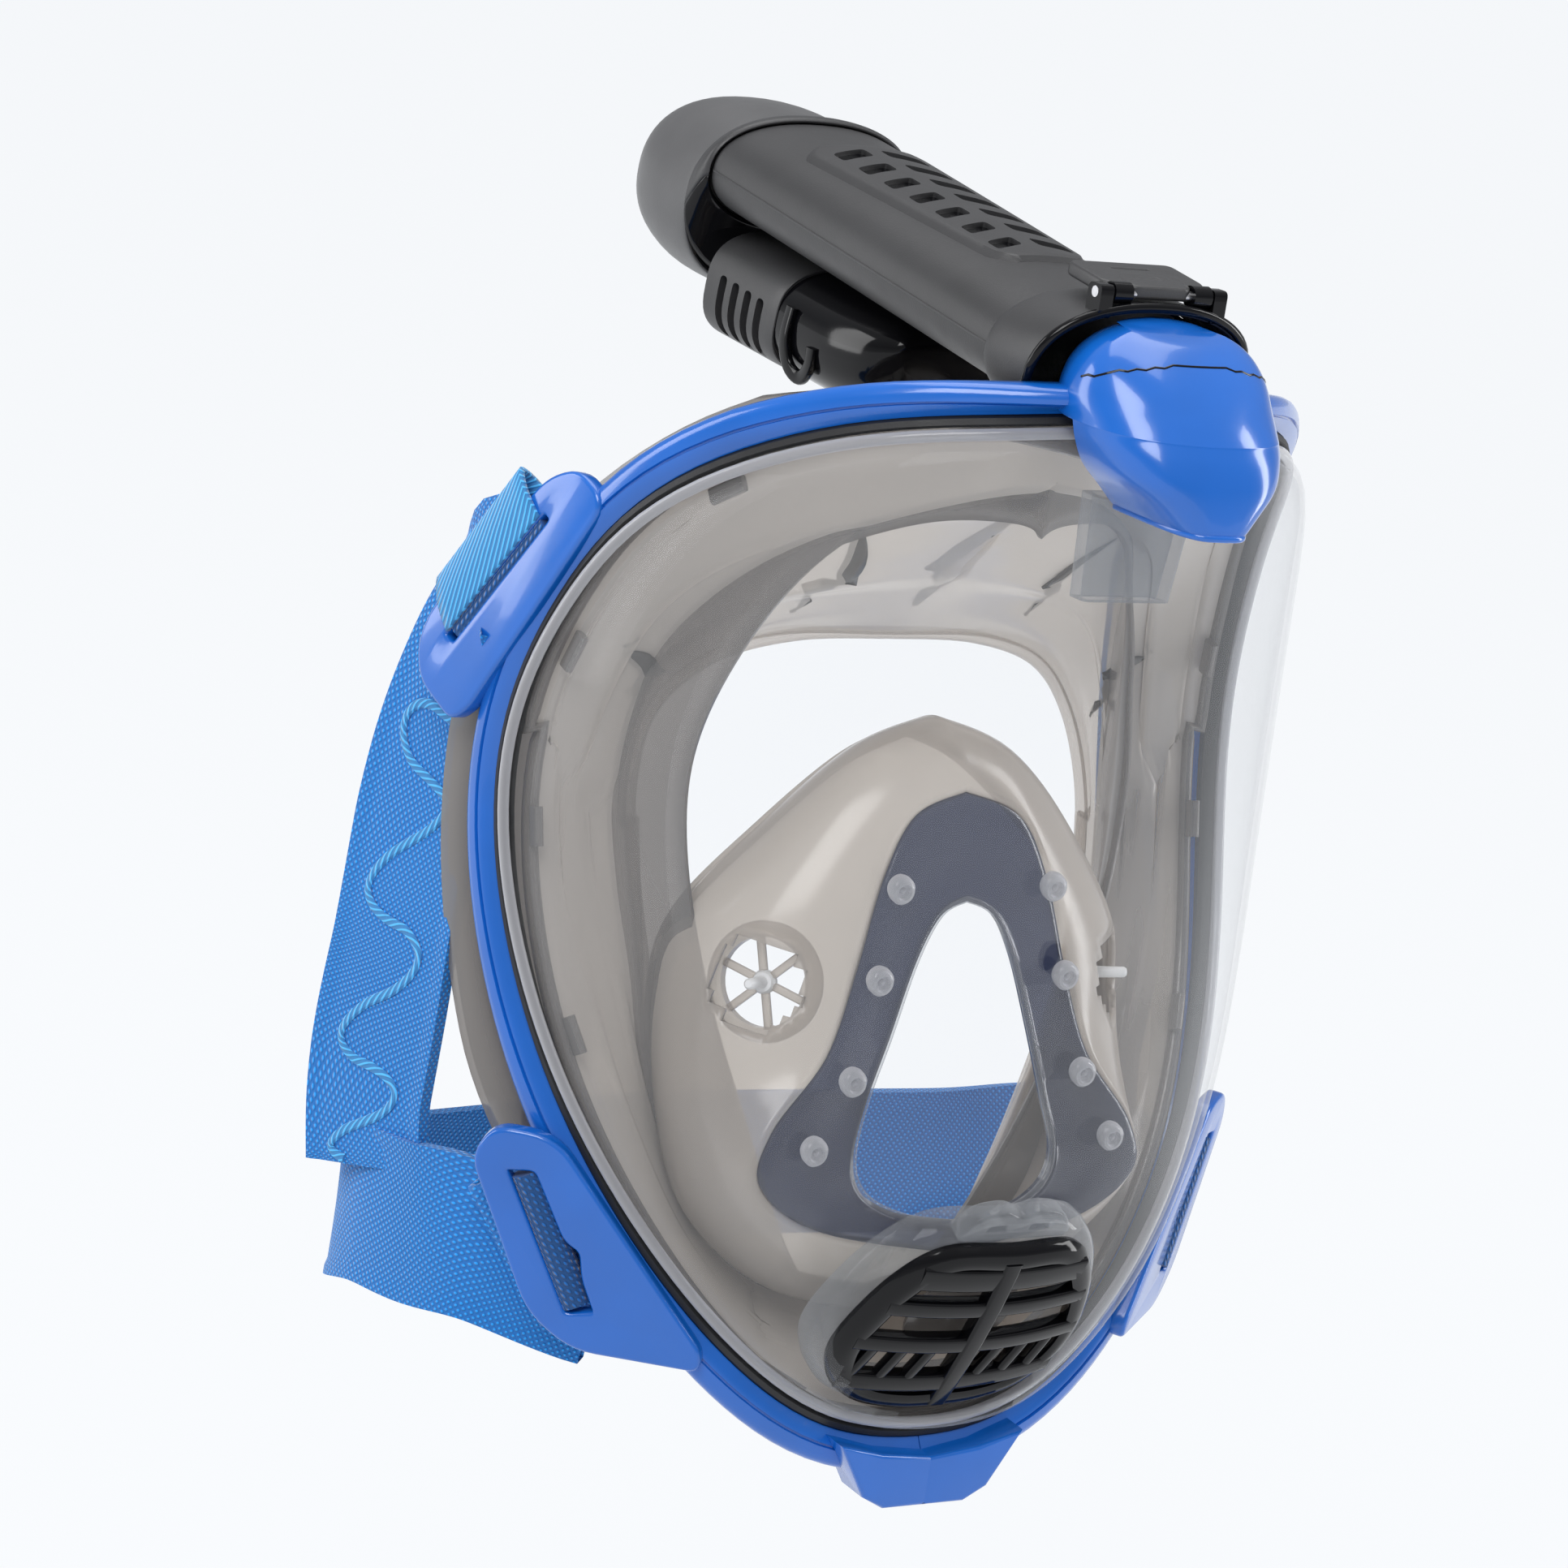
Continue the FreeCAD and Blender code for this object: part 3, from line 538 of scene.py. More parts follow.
class Station:
    """A place on the rim: its point, and its run, outward and facing directions."""

    def __init__(self, share):
        def on_rim(value):
            x, z = rim.at(value)
            return np.array([x, -wrap(x, z), z])

        self.share = share
        self.point = on_rim(share)
        self.run = unit(on_rim(share + 1e-4) - on_rim(share - 1e-4))
        x, _, z = self.point
        slope = abs(wrap(x + 0.1, z) - wrap(x - 0.1, z)) / 0.2
        surface = unit(np.array([math.copysign(slope, x), -1, 0]))
        facing = surface * FACING_TURN + np.array([0, FACING_TURN - 1, 0])
        self.out = unit(np.cross(facing, self.run))
        if np.dot(self.out, np.array([x, 0, z])) < 0:
            self.out = -self.out
        self.face = unit(np.cross(self.run, self.out))
        if self.face[1] > 0:
            self.face = -self.face

    def at(self, out, face, run=0.0):
        return self.point + self.out * out + self.face * face + self.run * run


HALF_STEPS = 84
half_stations = [Station(k / HALF_STEPS) for k in range(HALF_STEPS + 1)]


def ease(value):
    value = min(max(value, 0.0), 1.0)
    return value * value * (3 - 2 * value)


def half_rows(section, middle_x=0.0):
    """The right half of a band round the rim. section gives (out, face) for a share."""
    half = [[station.at(out, face) for out, face in section(station.share)]
            for station in half_stations]
    for point in half[0] + half[-1]:
        point[0] = middle_x
    return half


def loop_rows(section):
    """The rows of a band all round the rim."""
    return mirrored_rows(half_rows(section))


# ---------------------------------------------------------------- frame halves with their lugs

UPPER_LUG = [(20, 3), (20, 13), (13, 18.5), (-31, 25.5), (-39, 23.5), (-44, 17.5), (-44, 5),
             (-39, 3)]
UPPER_SLOT = [(8, 11.5), (8, 15.5), (-33, 20), (-33, 15)]
LOWER_LUG = [(29, 2.5), (37.5, 12.5), (34.5, 20), (-2, 29.5), (-14, 26), (-32, 4), (-29, 2)]
LOWER_SLOT = [(30, 16), (25.5, 9), (8, 12.6), (4, 10.8), (-2, 14.2), (-11, 16.5), (-7, 24)]
LUG_LOW, LUG_THICK = -0.8, 4.5
SEAM_HALF = 0.12
SEARCH_STEPS = 400


def frame_section(share):
    slim = max(0.0, 1 - 14 * share / 3)
    width = 9 - 3 * slim
    back = -8 * (0.6 - 0.35 * slim)
    tight = width / 9
    ledge = 5.5 * ease(1 - share / 0.16)
    return [(1.0, back), (width - 0.8, back), (width, back + 0.7), (width + 0.7, -0.8),
            (width + 0.75, 0.4 + ledge * 0.6), (width + 0.3, 1.5 + ledge * 0.9),
            (width - 0.7, 2.35 + ledge), (width - 2, 2.75 + ledge),
            (5.2 * tight, 2.85 + ledge * 0.9), (5.0 * tight, 2.1 + ledge * 0.9),
            (4.6 * tight, 2.1 + ledge * 0.8), (4.4 * tight, 2.6 + ledge * 0.7),
            (3.4 * tight, 2.3 + ledge * 0.3), (2.3 * tight, 1.4), (1.5, 0.95), (1.0, 0.6)]


def station_near(height):
    return min((Station(k / SEARCH_STEPS) for k in range(1, SEARCH_STEPS)),
               key=lambda station: abs(station.point[2] - height))


def lug(name, station, outline, slot_outline, side):
    """A rounded plate in the station's run and out directions, with its strap slot."""
    run = station.run if station.run[2] > 0 else -station.run
    origin = station.point + station.face * (LUG_LOW + LUG_THICK / 2)
    place = axes(origin, run, station.out, station.face)
    outlines = [rounded_outline(outline, 6), rounded_outline(slot_outline, 2)]
    obj = plate(name, outlines, LUG_THICK, 1.1, place, BLUE)
    if side < 0:
        obj.data.transform(Matrix.Scale(-1, 4, (1, 0, 0)))
        tidy_mesh(obj.data)


upper, lower = station_near(59), station_near(-82)
CHIN_BLOCK = [(0, 5.5), (13, 7), (22.5, 9.5), (16, -1.5), (10.5, -4.5), (0, -4.5)]

for side, name in SIDES:
    rows = [on_side(row, side) for row in half_rows(frame_section, -SEAM_HALF)]
    grid(f"frame_{name}_rim", rows, BLUE, caps=True, nodes=(f"frame_{name}",))
    lug(f"frame_{name}_upper_lug", upper, UPPER_LUG, UPPER_SLOT, side)
    lug(f"frame_{name}_lower_lug", lower, LOWER_LUG, LOWER_SLOT, side)
    plate(f"frame_{name}_chin_block", [[(x + 0.15, z) for x, z in CHIN_BLOCK]], 10.5, 1.0,
          axes((0, -73.8, -136.5), (-side, 0, 0), (0, 0, 1), (0, -1, 0)), BLUE)


# ---------------------------------------------------------------- lens and gasket

def gasket_section(share):
    return [(0.95, -3), (1.1, 0.2), (0.4, 1.3), (-0.9, 1.7), (-1.5, 1.0), (-1.6, -3)]


grid("lens_gasket_ring", loop_rows(gasket_section), RUBBER, slot="gasket", ring=True,
     nodes=("lens_gasket",))
grid("lens_edge_bead", loop_rows(lambda share: [(-3.1 + 1.35 * a, 1.5 + 1.3 * b)
                                                for a, b in circle(1, 10)]),
     BEAD, slot="clear", ring=True)

SHOULDER = [(2.2, -2.6), (2.2, 0), (2.35, 2.5), (2.9, 5.0), (4.0, 7.1), (6.0, 8.8), (8.7, 9.7),
            (12, 10.0)]
LENS_MIDDLE = np.array([0, -5.0])
LENS_STEPS, LENS_WALL = 30, 2.2
KEEL_TALL, KEEL_HALF = 3.0, 11
CHIN_CENTRE = np.array([0, -75.0, -90.5])
CHIN_TILT = math.radians(27)
CHIN_AXIS = np.array([0, -math.cos(CHIN_TILT), -math.sin(CHIN_TILT)])
CHIN_UP = np.array([0, -math.sin(CHIN_TILT), math.cos(CHIN_TILT)])
CHIN_HALF = [(0, 27.5), (-17, 26.5), (-27, 16), (-32.5, -1), (-31.5, -13), (-24, -22),
             (-12, -25.5), (0, -26)]
chin_outline = spline([(x, z, 0) for x, z in CHIN_HALF] +
                      [(-x, z, 0) for x, z in reversed(CHIN_HALF[1:-1])], 96, closed=True)


def chin(x, up, out):
    """A place on the chin valve: across, up the chin and outwards, domed at its edges."""
    drop = 0.0042 * x * x + 0.0022 * up * up
    return CHIN_CENTRE + np.array([x, 0, 0]) + CHIN_UP * up + CHIN_AXIS * (out - drop)


def outside_chin(point, shrink=0.9):
    """Whether a point lies off the chin valve's outline."""
    offset = point - CHIN_CENTRE
    x, up = offset[0] / shrink, float(np.dot(offset, CHIN_UP)) / shrink
    angle = math.atan2(up, x)
    reach = min(chin_outline, key=lambda p: abs(math.remainder(math.atan2(p[1], p[0]) - angle,
                                                               2 * math.pi)))
    return math.hypot(x, up) > math.hypot(reach[0], reach[1])


def lens_rows(shrink=0.0, rise=0.0):
    rows = []
    shares = [k / HALF_STEPS for k in range(2 * HALF_STEPS)]
    for inset, lift in SHOULDER:
        row = []
        for share in shares:
            x, z = rim.at(share) - rim.outward(share) * (inset + shrink)
            row.append(np.array([x, -wrap(x, z, min(lift, LENS_RISE - rise)), z]))
        rows.append(row)
    edge = rows[-1]
    for step in range(1, LENS_STEPS):
        factor = 1 - step / LENS_STEPS
        row = []
        for point in edge:
            x, z = LENS_MIDDLE + (point[[0, 2]] - LENS_MIDDLE) * factor
            keel = (KEEL_TALL * math.exp(-(x / KEEL_HALF) ** 2) * ease((-z - 5) / 70)
                    * ease(step / 8))
            row.append(np.array([x, -wrap(x, z, LENS_RISE - rise) - keel, z]))
        rows.append(row)
    return rows


grid("lens_shell", lens_rows(), CLEAR, slot="clear", nodes=("lens",), keep=outside_chin)
grid("lens_inner_wall", lens_rows(LENS_WALL, LENS_WALL), CLEAR, slot="clear", keep=outside_chin)


# ---------------------------------------------------------------- skirt

def skirt_section(share):
    """The bulge behind the frame, ending where the inner skirt's lip begins."""
    drop = 20 * max(0.0, 1 - 14 * share / 3)
    profile = [(6.5, -5.6), (8.4, -7.0), (10.4, -11), (11, -15.5), (10.2, -21), (7.6, -26), (3.5, -29.5),
               (-2, -31.5), (-10, -32.6), (-18, -33.2), (-24, -33.6)]
    taper = min(1.0, 0.62 + 0.38 * ease(share / 0.3)) * (1 - 0.25 * ease((share - 0.7) / 0.3))
    swell = 1 + 0.75 * ease((share - 0.18) / 0.2) * ease((0.85 - share) / 0.15)
    return [((out * swell if out > 7 else out if out > 0 else out * taper) - drop, face)
            for out, face in profile]


outer_rows = loop_rows(skirt_section)
BULGE_SHARES = [0.15, 0.5, 0.85, 1, 1, 0.85, 0.6, 0.35, 0.15, 0, 0]
for index, row in enumerate(outer_rows):
    share = min(index, 2 * HALF_STEPS - index) / HALF_STEPS
    swell = ease((share - 0.25) / 0.2) * ease((0.82 - share) / 0.2)
    for point, weight in zip(row, BULGE_SHARES):
        point[0] += math.copysign(9.0 * swell * weight, point[0]) if swell else 0
        point[1] += 6.0 * swell * weight
grid("skirt_bulge", outer_rows, SILICONE_DARK, slot="silicone", ring=True, loop=False,
     nodes=("skirt",), thick=1.6)

LIP_HALF = [(0, -9, 46), (-24, -8, 45), (-44, -6, 39), (-57, -4, 26), (-62, -8, 8),
            (-61, -14, -12), (-58, -19, -32), (-53, -20, -55), (-43, -23, -82), (-25, -34, -101),
            (0, -42, -107)]
lip_path = spline(LIP_HALF, HALF_STEPS + 1)
FOLDS = [(0.0, 0.0), (0.10, 2.2), (0.17, -1.8), (0.33, 1.5), (0.40, 4.0), (0.46, -1.0),
         (0.64, 2.0), (0.72, 4.5), (0.78, 0.5), (0.9, 2.4), (1.0, 0.0)]


def fold(v):
    for (a, low), (b, high) in zip(FOLDS, FOLDS[1:]):
        if a <= v <= b:
            return low + (high - low) * ease((v - a) / (b - a))
    return 0.0


def forward_of(across, run):
    """The part of run that is square to across, turned to point forward."""
    lift = unit(np.cross(np.cross(across, run), across))
    return -lift if lift[1] > 0 else lift


def inner_skirt_point(index, v):
    """A place on the skirt between the rim and the lip, folded towards the brow."""
    station = half_stations[index]
    start = station.at(-1.6, -6.2)
    end = lip_path[index]
    across = end - start
    lift = forward_of(across, station.run)
    amount = 1.0 if station.share < 0.5 else 1 - 0.6 * ease((station.share - 0.5) / 0.3)
    belly = 5.0 * math.sin(math.pi * v)
    return start + across * v + lift * (fold(v) * amount + belly - 3)


FOLD_STEPS = 44
inner_rows = mirrored_rows([[inner_skirt_point(index, v / FOLD_STEPS)
                             for v in range(FOLD_STEPS + 1)] for index in range(HALF_STEPS + 1)])
grid("skirt_brow", inner_rows, SILICONE, slot="silicone", ring=True, loop=False, thick=1.2)
sweep("skirt_lip", mirrored_loop(lip_path), circle(1.5), (0, -1, 0.2), SILICONE, closed=True,
      slot="silicone")
sweep("skirt_root", [row[0] for row in inner_rows], circle(1.9), (0, -1, 0.2), SILICONE_DARK,
      closed=True, slot="silicone")

FIN_SHARES = [0.0, 0.13, 0.33]
FIN_STEPS, FIN_TALL = 14, 5.0
for number, share in enumerate(FIN_SHARES):
    index = round(share * HALF_STEPS)
    run = half_stations[index].run
    blade = []
    for step in range(FIN_STEPS + 1):
        v = 0.40 + 0.46 * step / FIN_STEPS
        foot = inner_skirt_point(index, v)
        lift = forward_of(inner_skirt_point(index, min(v + 0.02, 1)) - foot, run)
        tall = FIN_TALL * math.sin(math.pi * step / FIN_STEPS) ** 0.7
        lean = run * (5 * (step / FIN_STEPS - 0.5) ** 2)
        blade.append([foot + lift * tall * k / 3 + lean * k / 3 for k in range(4)])
    for side, name in SIDES if share else SIDES[:1]:
        grid(f"skirt_fin_{number}_{name}", [on_side(row, side) for row in blade], FIN,
             slot="silicone", loop=False, thick=0.7)


# ---------------------------------------------------------------- nose pocket, arch and valves

EDGE_HALF = [(0, -23, 27), (-16, -23, 20), (-36, -24, 4), (-55, -25, -15), (-57, -22, -34),
             (-52, -22, -58), (-42, -25, -82), (-24, -35, -99), (0, -42, -104)]
ARCH_OUT = [(0, -50, 20), (-14, -52, 15), (-22, -55, 1), (-28, -59, -19), (-35, -63, -38),
            (-48, -66, -54), (-50, -68, -66), (-34, -70, -76), (0, -72, -82)]
ARCH_IN = [(0, -55, -3), (-7, -56, -6), (-13, -58, -16), (-19, -61, -33), (-24, -63, -48),
           (-27, -66, -60), (-24, -68, -68), (-14, -70, -73), (0, -71, -75)]
POCKET_STEPS, POCKET_DEPTH_STEPS = 64, 30
edge_path = spline(EDGE_HALF, POCKET_STEPS + 1)
arch_out_path = spline(ARCH_OUT, POCKET_STEPS + 1)
arch_in_path = spline(ARCH_IN, POCKET_STEPS + 1)
VALVE_CENTRE = np.array([-43.5, -47.0, -25.0])
VALVE_AXIS = unit(np.array([-0.80, -0.58, 0.16]))
VALVE_HOLE, VALVE_REACH = 10.6, 18


def pocket_point(index, v):
    start, end = edge_path[index], arch_out_path[index]
    across = end - start
    outward = unit(np.array([start[0] * 1.2, -6, start[2] + 32]))
    outward = unit(outward - unit(across) * np.dot(outward, unit(across)))
    bulge = 9.0 * math.sin(math.pi * min(v, 1.0)) ** 0.8
    return start + across * v + outward * bulge


def clear_of_valve(point):
    offset = np.array([-abs(point[0]), point[1], point[2]]) - VALVE_CENTRE
    flat = offset - VALVE_AXIS * np.dot(offset, VALVE_AXIS)
    return np.linalg.norm(flat) > VALVE_HOLE or np.linalg.norm(offset) > VALVE_REACH


pocket_rows = mirrored_rows([[pocket_point(index, v / POCKET_DEPTH_STEPS)
                              for v in range(POCKET_DEPTH_STEPS + 1)]
                             for index in range(POCKET_STEPS + 1)])
grid("nose_pocket_shell", pocket_rows, POCKET, slot="silicone", nodes=("nose_pocket",), ring=True,
     loop=False, thick=1.6, keep=clear_of_valve)
sweep("nose_pocket_lip", mirrored_loop(edge_path), circle(1.7), (0, -1, 0.2), POCKET, closed=True,
      slot="silicone")


def arch_row(index):
    """The arch frame's rounded section, between its outer and its inner edge."""
    out_edge, in_edge = arch_out_path[index], arch_in_path[index]
    across = in_edge - out_edge
    forward = np.array([0, -1, -0.2])
    section = [(0.0, 0.0), (0.0, 1.4), (0.04, 2.0), (0.12, 2.2), (0.5, 2.6), (0.86, 2.2), (0.95, 3.0),
               (1.0, 2.6), (1.0, 0.0), (0.5, -0.2)]
    return [out_edge + across * a + forward * b for a, b in section]


arch_rows = mirrored_rows([arch_row(index) for index in range(POCKET_STEPS + 1)])
grid("arch_frame_moulding", arch_rows, NAVY, slot="arch", nodes=("arch_frame",), ring=True)
sweep("arch_inner_edge", mirrored_loop([point + np.array([0, -2.4, 0]) for point in arch_in_path]),
      circle(0.8), (0, -1, 0.2), CLEAR_THICK, closed=True, slot="arch")

STUD_PLACES = [(-20.5, -57.5, 1), (-25, -61.5, -19), (-31, -66, -41), (-40, -68.5, -56)]
stud_pieces = []
STUD_PROFILE = [(0.6, 0.0), (3.0, 0.0), (3.3, 1.0), (3.2, 2.2), (2.6, 2.9), (1.9, 3.0), (1.6, 2.2),
                (0.9, 2.0), (0.3, 2.4)]
for place in STUD_PLACES:
    for side in (1, -1):
        centre = np.array([place[0] * side, place[1] - 2.3, place[2]])
        rows = [[centre + np.array([r * math.cos(a), -h, r * math.sin(a) - 0.2 * h])
                 for a in [2 * math.pi * k / 24 for k in range(24)]] for r, h in STUD_PROFILE]
        name = f"arch_stud_{len(stud_pieces)}"
        stud_pieces.append(grid(name, rows, BEAD, slot="clear", caps=True))
join(*stud_pieces)
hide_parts("arch_studs")


def turned(profile, centre, axis, name, material, count=40, **options):
    """A round piece about an axis. profile lists (radius, along)."""
    side = unit(np.cross(axis, np.array([0, 0, 1.0])))
    up = np.cross(side, axis)
    rows = [[centre + axis * h + side * (r * math.cos(2 * math.pi * k / count))
             + up * (r * math.sin(2 * math.pi * k / count)) for k in range(count)]
            for r, h in profile]
    return grid(name, rows, material, **options)


SPOKES = 6
SEAT_RING = [(10.2, -1.6), (10.2, 1.2), (10.8, 1.9), (12.4, 2.1), (13.4, 1.4), (13.8, 0.2),
             (13.6, -1.6)]
for side, name in SIDES:
    centre = VALVE_CENTRE * np.array([side, 1, 1])
    axis = VALVE_AXIS * np.array([side, 1, 1])
    ring = turned(SEAT_RING, centre, axis, name + "_valve_ring", POCKET, slot="valve", ring=True,
                  nodes=(name + "_valve_seat",))
    side_way = unit(np.cross(axis, np.array([0, 0, 1.0])))
    up_way = np.cross(side_way, axis)
    spokes = []
    for turn in range(SPOKES):
        angle = math.radians(360 / SPOKES * turn + 12)
        way = side_way * math.cos(angle) + up_way * math.sin(angle)
        path = [centre + way * (1.5 + 9.2 * k / 3) for k in range(4)]
        spokes.append(sweep(f"{name}_valve_spoke_{turn}", path, rounded_box(0.9, 0.9, 0.4), axis,
                            POCKET, slot="valve"))
    join(ring, *spokes)
    turned([(0.4, -1.2), (2.6, -1.2), (2.8, 0.6), (2.2, 1.6), (1.4, 1.8), (1.3, 5.0), (1.25, 9.2),
            (0.8, 9.8), (0.2, 9.9)], centre, axis, name + "_valve_stem", WHITE, caps=True, slot="valve",
           body=name + "_flap", nodes=(name + "_valve_flap",))


# ---------------------------------------------------------------- chin valve

def chin_ring(name, section, material, shrink=1.0, **options):
    """A section of (inset, out) carried round the chin valve's outline."""
    rows = []
    for point in chin_outline:
        way = unit(np.array([point[0], point[1]]))
        rows.append([chin(point[0] * shrink - way[0] * inset, point[1] * shrink - way[1] * inset, out)
                     for inset, out in section])
    return grid(name, rows, material, ring=True, **options)


chin_ring("chin_valve_rim", [(-2.2, 3), (-2.9, 6), (-2.6, 9.6), (-1.4, 11.2), (0.6, 11.6), (1.4, 10.6),
                             (3.2, 10.2), (3.6, 8), (3.2, 3)], CLEAR_THICK, slot="clear",
          nodes=("chin_valve_body",))
grille = [chin_ring("chin_grille_bars", [(0.4, 11.4), (0.0, 13.0), (0.8, 14.6), (2.4, 15.4), (4.6, 15.5),
                                         (6.0, 14.8), (6.4, 13.2), (6.0, 11.6)], BLACK, slot="black",
                    nodes=("chin_grille",))]


def chin_reach(up, side):
    """How far the grille's inner edge lies from its middle, at a height."""
    inside = [p for p in chin_outline if abs(p[1] - up) < 3 and p[0] * side > 0]
    return max(abs(p[0]) for p in inside) - 3.5


def chin_bar(name, ends, half_tall, half_deep=1.9, lift=13.6):
    (x0, up0), (x1, up1) = ends
    path = [chin(x0 + (x1 - x0) * k / 16, up0 + (up1 - up0) * k / 16, lift) for k in range(17)]
    return sweep(name, path, rounded_box(half_tall, half_deep, 0.9), CHIN_AXIS, BLACK, slot="black")


for row, (up, tall) in enumerate([(20.5, 3.4), (11.2, 2.3), (-0.5, 2.3), (-13.8, 2.6)]):
    reach = chin_reach(up, -1)
    grille.append(chin_bar(f"chin_bar_{row}", ((-reach, up - 1.5), (reach, up - 1.5)), tall))
grille.append(chin_bar("chin_rib", ((0, 24), (0, -23)), 2.5, 2.1, 13.7))
for side in (1, -1):
    for tick in range(3):
        x = side * (9 + 7.2 * tick)
        grille.append(chin_bar(f"chin_tick_{tick}_{side}", ((x, -2.0), (x - 2.5, -13.5)), 1.4, 1.6))
join(*grille)

clip_outline = [(-15, -3), (-11, 3.4), (-4, 4.2), (0, 2.2), (4, 4.2), (11, 3.4), (15, -3)]
clip_place = axes(chin(0, 31, 9.0), (1, 0, 0), CHIN_UP, CHIN_AXIS)
plate("chin_valve_clip", [rounded_outline(clip_outline, 3),
                          rounded_outline([(-9, -1), (-8, 1.5), (-3, 1.8), (-2.5, -1)], 0.8),
                          rounded_outline([(9, -1), (8, 1.5), (3, 1.8), (2.5, -1)], 0.8)], 5, 0.8,
      clip_place, CLEAR_THICK)


# ---------------------------------------------------------------- duct behind the elbow

def duct_ring(height, half_x, front, back, radius):
    middle = (front + back) / 2
    return [np.array([x, middle + y, height])
            for x, y in rounded_box(half_x, (back - front) / 2, radius)]


def lens_front(height):
    return -wrap(0, height, 6.5)


duct_levels = [100, 94, 88, 82, 77]
duct_outer = [duct_ring(z, 12.6 - (100 - z) * 0.05, lens_front(z), -92.4, 1.6) for z in duct_levels]
duct_inner = [duct_ring(z, 10.6 - (100 - z) * 0.05, lens_front(z) + 2.2, -93.9, 1.0)
              for z in reversed(duct_levels)]
grid("duct_moulding", duct_outer + duct_inner, CLEAR_THICK, slot="clear", nodes=("duct_box",), ring=True)


# ---------------------------------------------------------------- elbow

DOME = np.array([0, -95.0, 122.0])
HOOD_MIDDLE = -101.0
HOOD_COUNT = 56
# height, half width, reach forward of the hood's middle, reach behind it
HOOD = [(98.6, 8.6, 28.0, -4.6), (99.4, 10.0, 28.2, -4.6), (103, 13.8, 27.8, -5.0),
        (108, 19.2, 26.8, -5.2), (113, 22.0, 25.2, -5.2), (116.6, 23.2, 23.6, -4.6),
        (117.4, 23.4, 23.2, 20.0), (121, 23.7, 20.6, 21.6), (125, 23.3, 17.0, 21.4),
        (129, 21.8, 12.8, 20.2), (132.5, 19.0, 8.2, 17.8), (135.2, 14.8, 3.4, 14.8),
        (137.2, 8.8, -3.0, 11.0), (138.0, 2.6, -6.6, 9.0)]


def hood_ring(height, half_x, forward, behind, grow=0.0):
    ring = []
    for step in range(HOOD_COUNT):
        angle = 2 * math.pi * step / HOOD_COUNT
        blunt = 2 / (2.05 + 1.7 * ease((124 - height) / 22))
        across = math.copysign(abs(math.cos(angle)) ** blunt, math.cos(angle))
        deep = math.copysign(abs(math.sin(angle)) ** blunt, math.sin(angle))
        if forward < 0:
            y = HOOD_MIDDLE + (behind - forward) / 2 + deep * (behind + forward) / 2
        else:
            y = HOOD_MIDDLE + deep * ((forward if deep < 0 else behind) + grow)
        ring.append(np.array([(half_x + grow) * across, y, height]))
    return ring


hood_levels = spline([np.array(level, float) for level in HOOD], 70)
grid("elbow_hood", [hood_ring(*level) for level in hood_levels], BLUE, nodes=("elbow",), caps=True,
     sharp=60)
seam_path = []
for step in range(33):
    level = hood_levels[42 + round(9 * math.sin(math.pi * step / 32))]
    ring = hood_ring(*level, grow=-0.12)
    seam_path.append(ring[(26 + step) % HOOD_COUNT])
sweep("elbow_arc_seam", seam_path[2:31], circle(0.3, 8), (0, 0, 1), BLACK, slot="black")
edge = hood_ring(*hood_levels[1], grow=0.0)
sweep("elbow_rolled_lip", edge[28:] + edge[:1], circle(0.8), (0, 0, 1), BLUE)


# ---------------------------------------------------------------- snorkel

TILT = math.radians(6.5)


def snorkel(x, along, high):
    """A place in the snorkel's own axes: across, away from the dome and out of its top."""
    return DOME + np.array([x, along * math.cos(TILT) - high * math.sin(TILT),
                            along * math.sin(TILT) + high * math.cos(TILT)])


SNORKEL_AXES = ((1, 0, 0), (0, math.cos(TILT), math.sin(TILT)), (0, -math.sin(TILT), math.cos(TILT)))


def oval(along, half_x, half_z, lift, lean=0.0, count=64, square=2.25, start=0.0, sweep_by=360.0):
    """A rounded ring round the snorkel. lean tips its plane: higher points lie further along."""
    ring = []
    for step in range(count if sweep_by == 360 else count + 1):
        angle = math.radians(start + sweep_by * step / count)
        c, s = math.cos(angle), math.sin(angle)
        x = half_x * math.copysign(abs(c) ** (2 / square), c)
        z = half_z * math.copysign(abs(s) ** (2 / square), s)
        ring.append(snorkel(x, along + lean * z, lift + z))
    return ring


def oval_loft(name, levels, material, count=12, thick=0.0, options=None, **piece):
    """A smooth body through rings (along, half width, half height, lift, lean)."""
    options = options or {}
    levels = spline([np.array(level, float) for level in levels], count)
    rows = [oval(*level, **options) for level in levels]
    return grid(name, rows, material, body="snorkel", thick=thick, **piece)


def snorkel_sweep(name, path, section, up, material=BLACK, slot="black", closed=False):
    sweep(name, path, section, up, material, closed=closed, slot=slot, body="snorkel")


TUBE = (26.5, 12.6, 1.3)
oval_loft("snorkel_tube_shell", [(24.3, 26.3, 12.4, 1.3, 0), (25, *TUBE, 0), (88, *TUBE, 0),
                                 (150.6, *TUBE, 0)], SATIN, 24, slot="grey",
          nodes=("snorkel_tube",), caps=True)
for side in (1, -1):
    path = [snorkel(side * 26.48, along, 1.3) for along in (25, 60, 100, 150)]
    snorkel_sweep(f"snorkel_mould_line_{'left' if side > 0 else 'right'}", path,
                  circle(0.32, 8), (0, 0, 1), SATIN, "grey")


def crown(x, extra):
    """The tube's top above its axes at x across, plus an extra height."""
    across = min(abs(x) / TUBE[0], 0.999)
    return TUBE[2] + TUBE[1] * (1 - across ** 2.25) ** (1 / 2.25) + extra


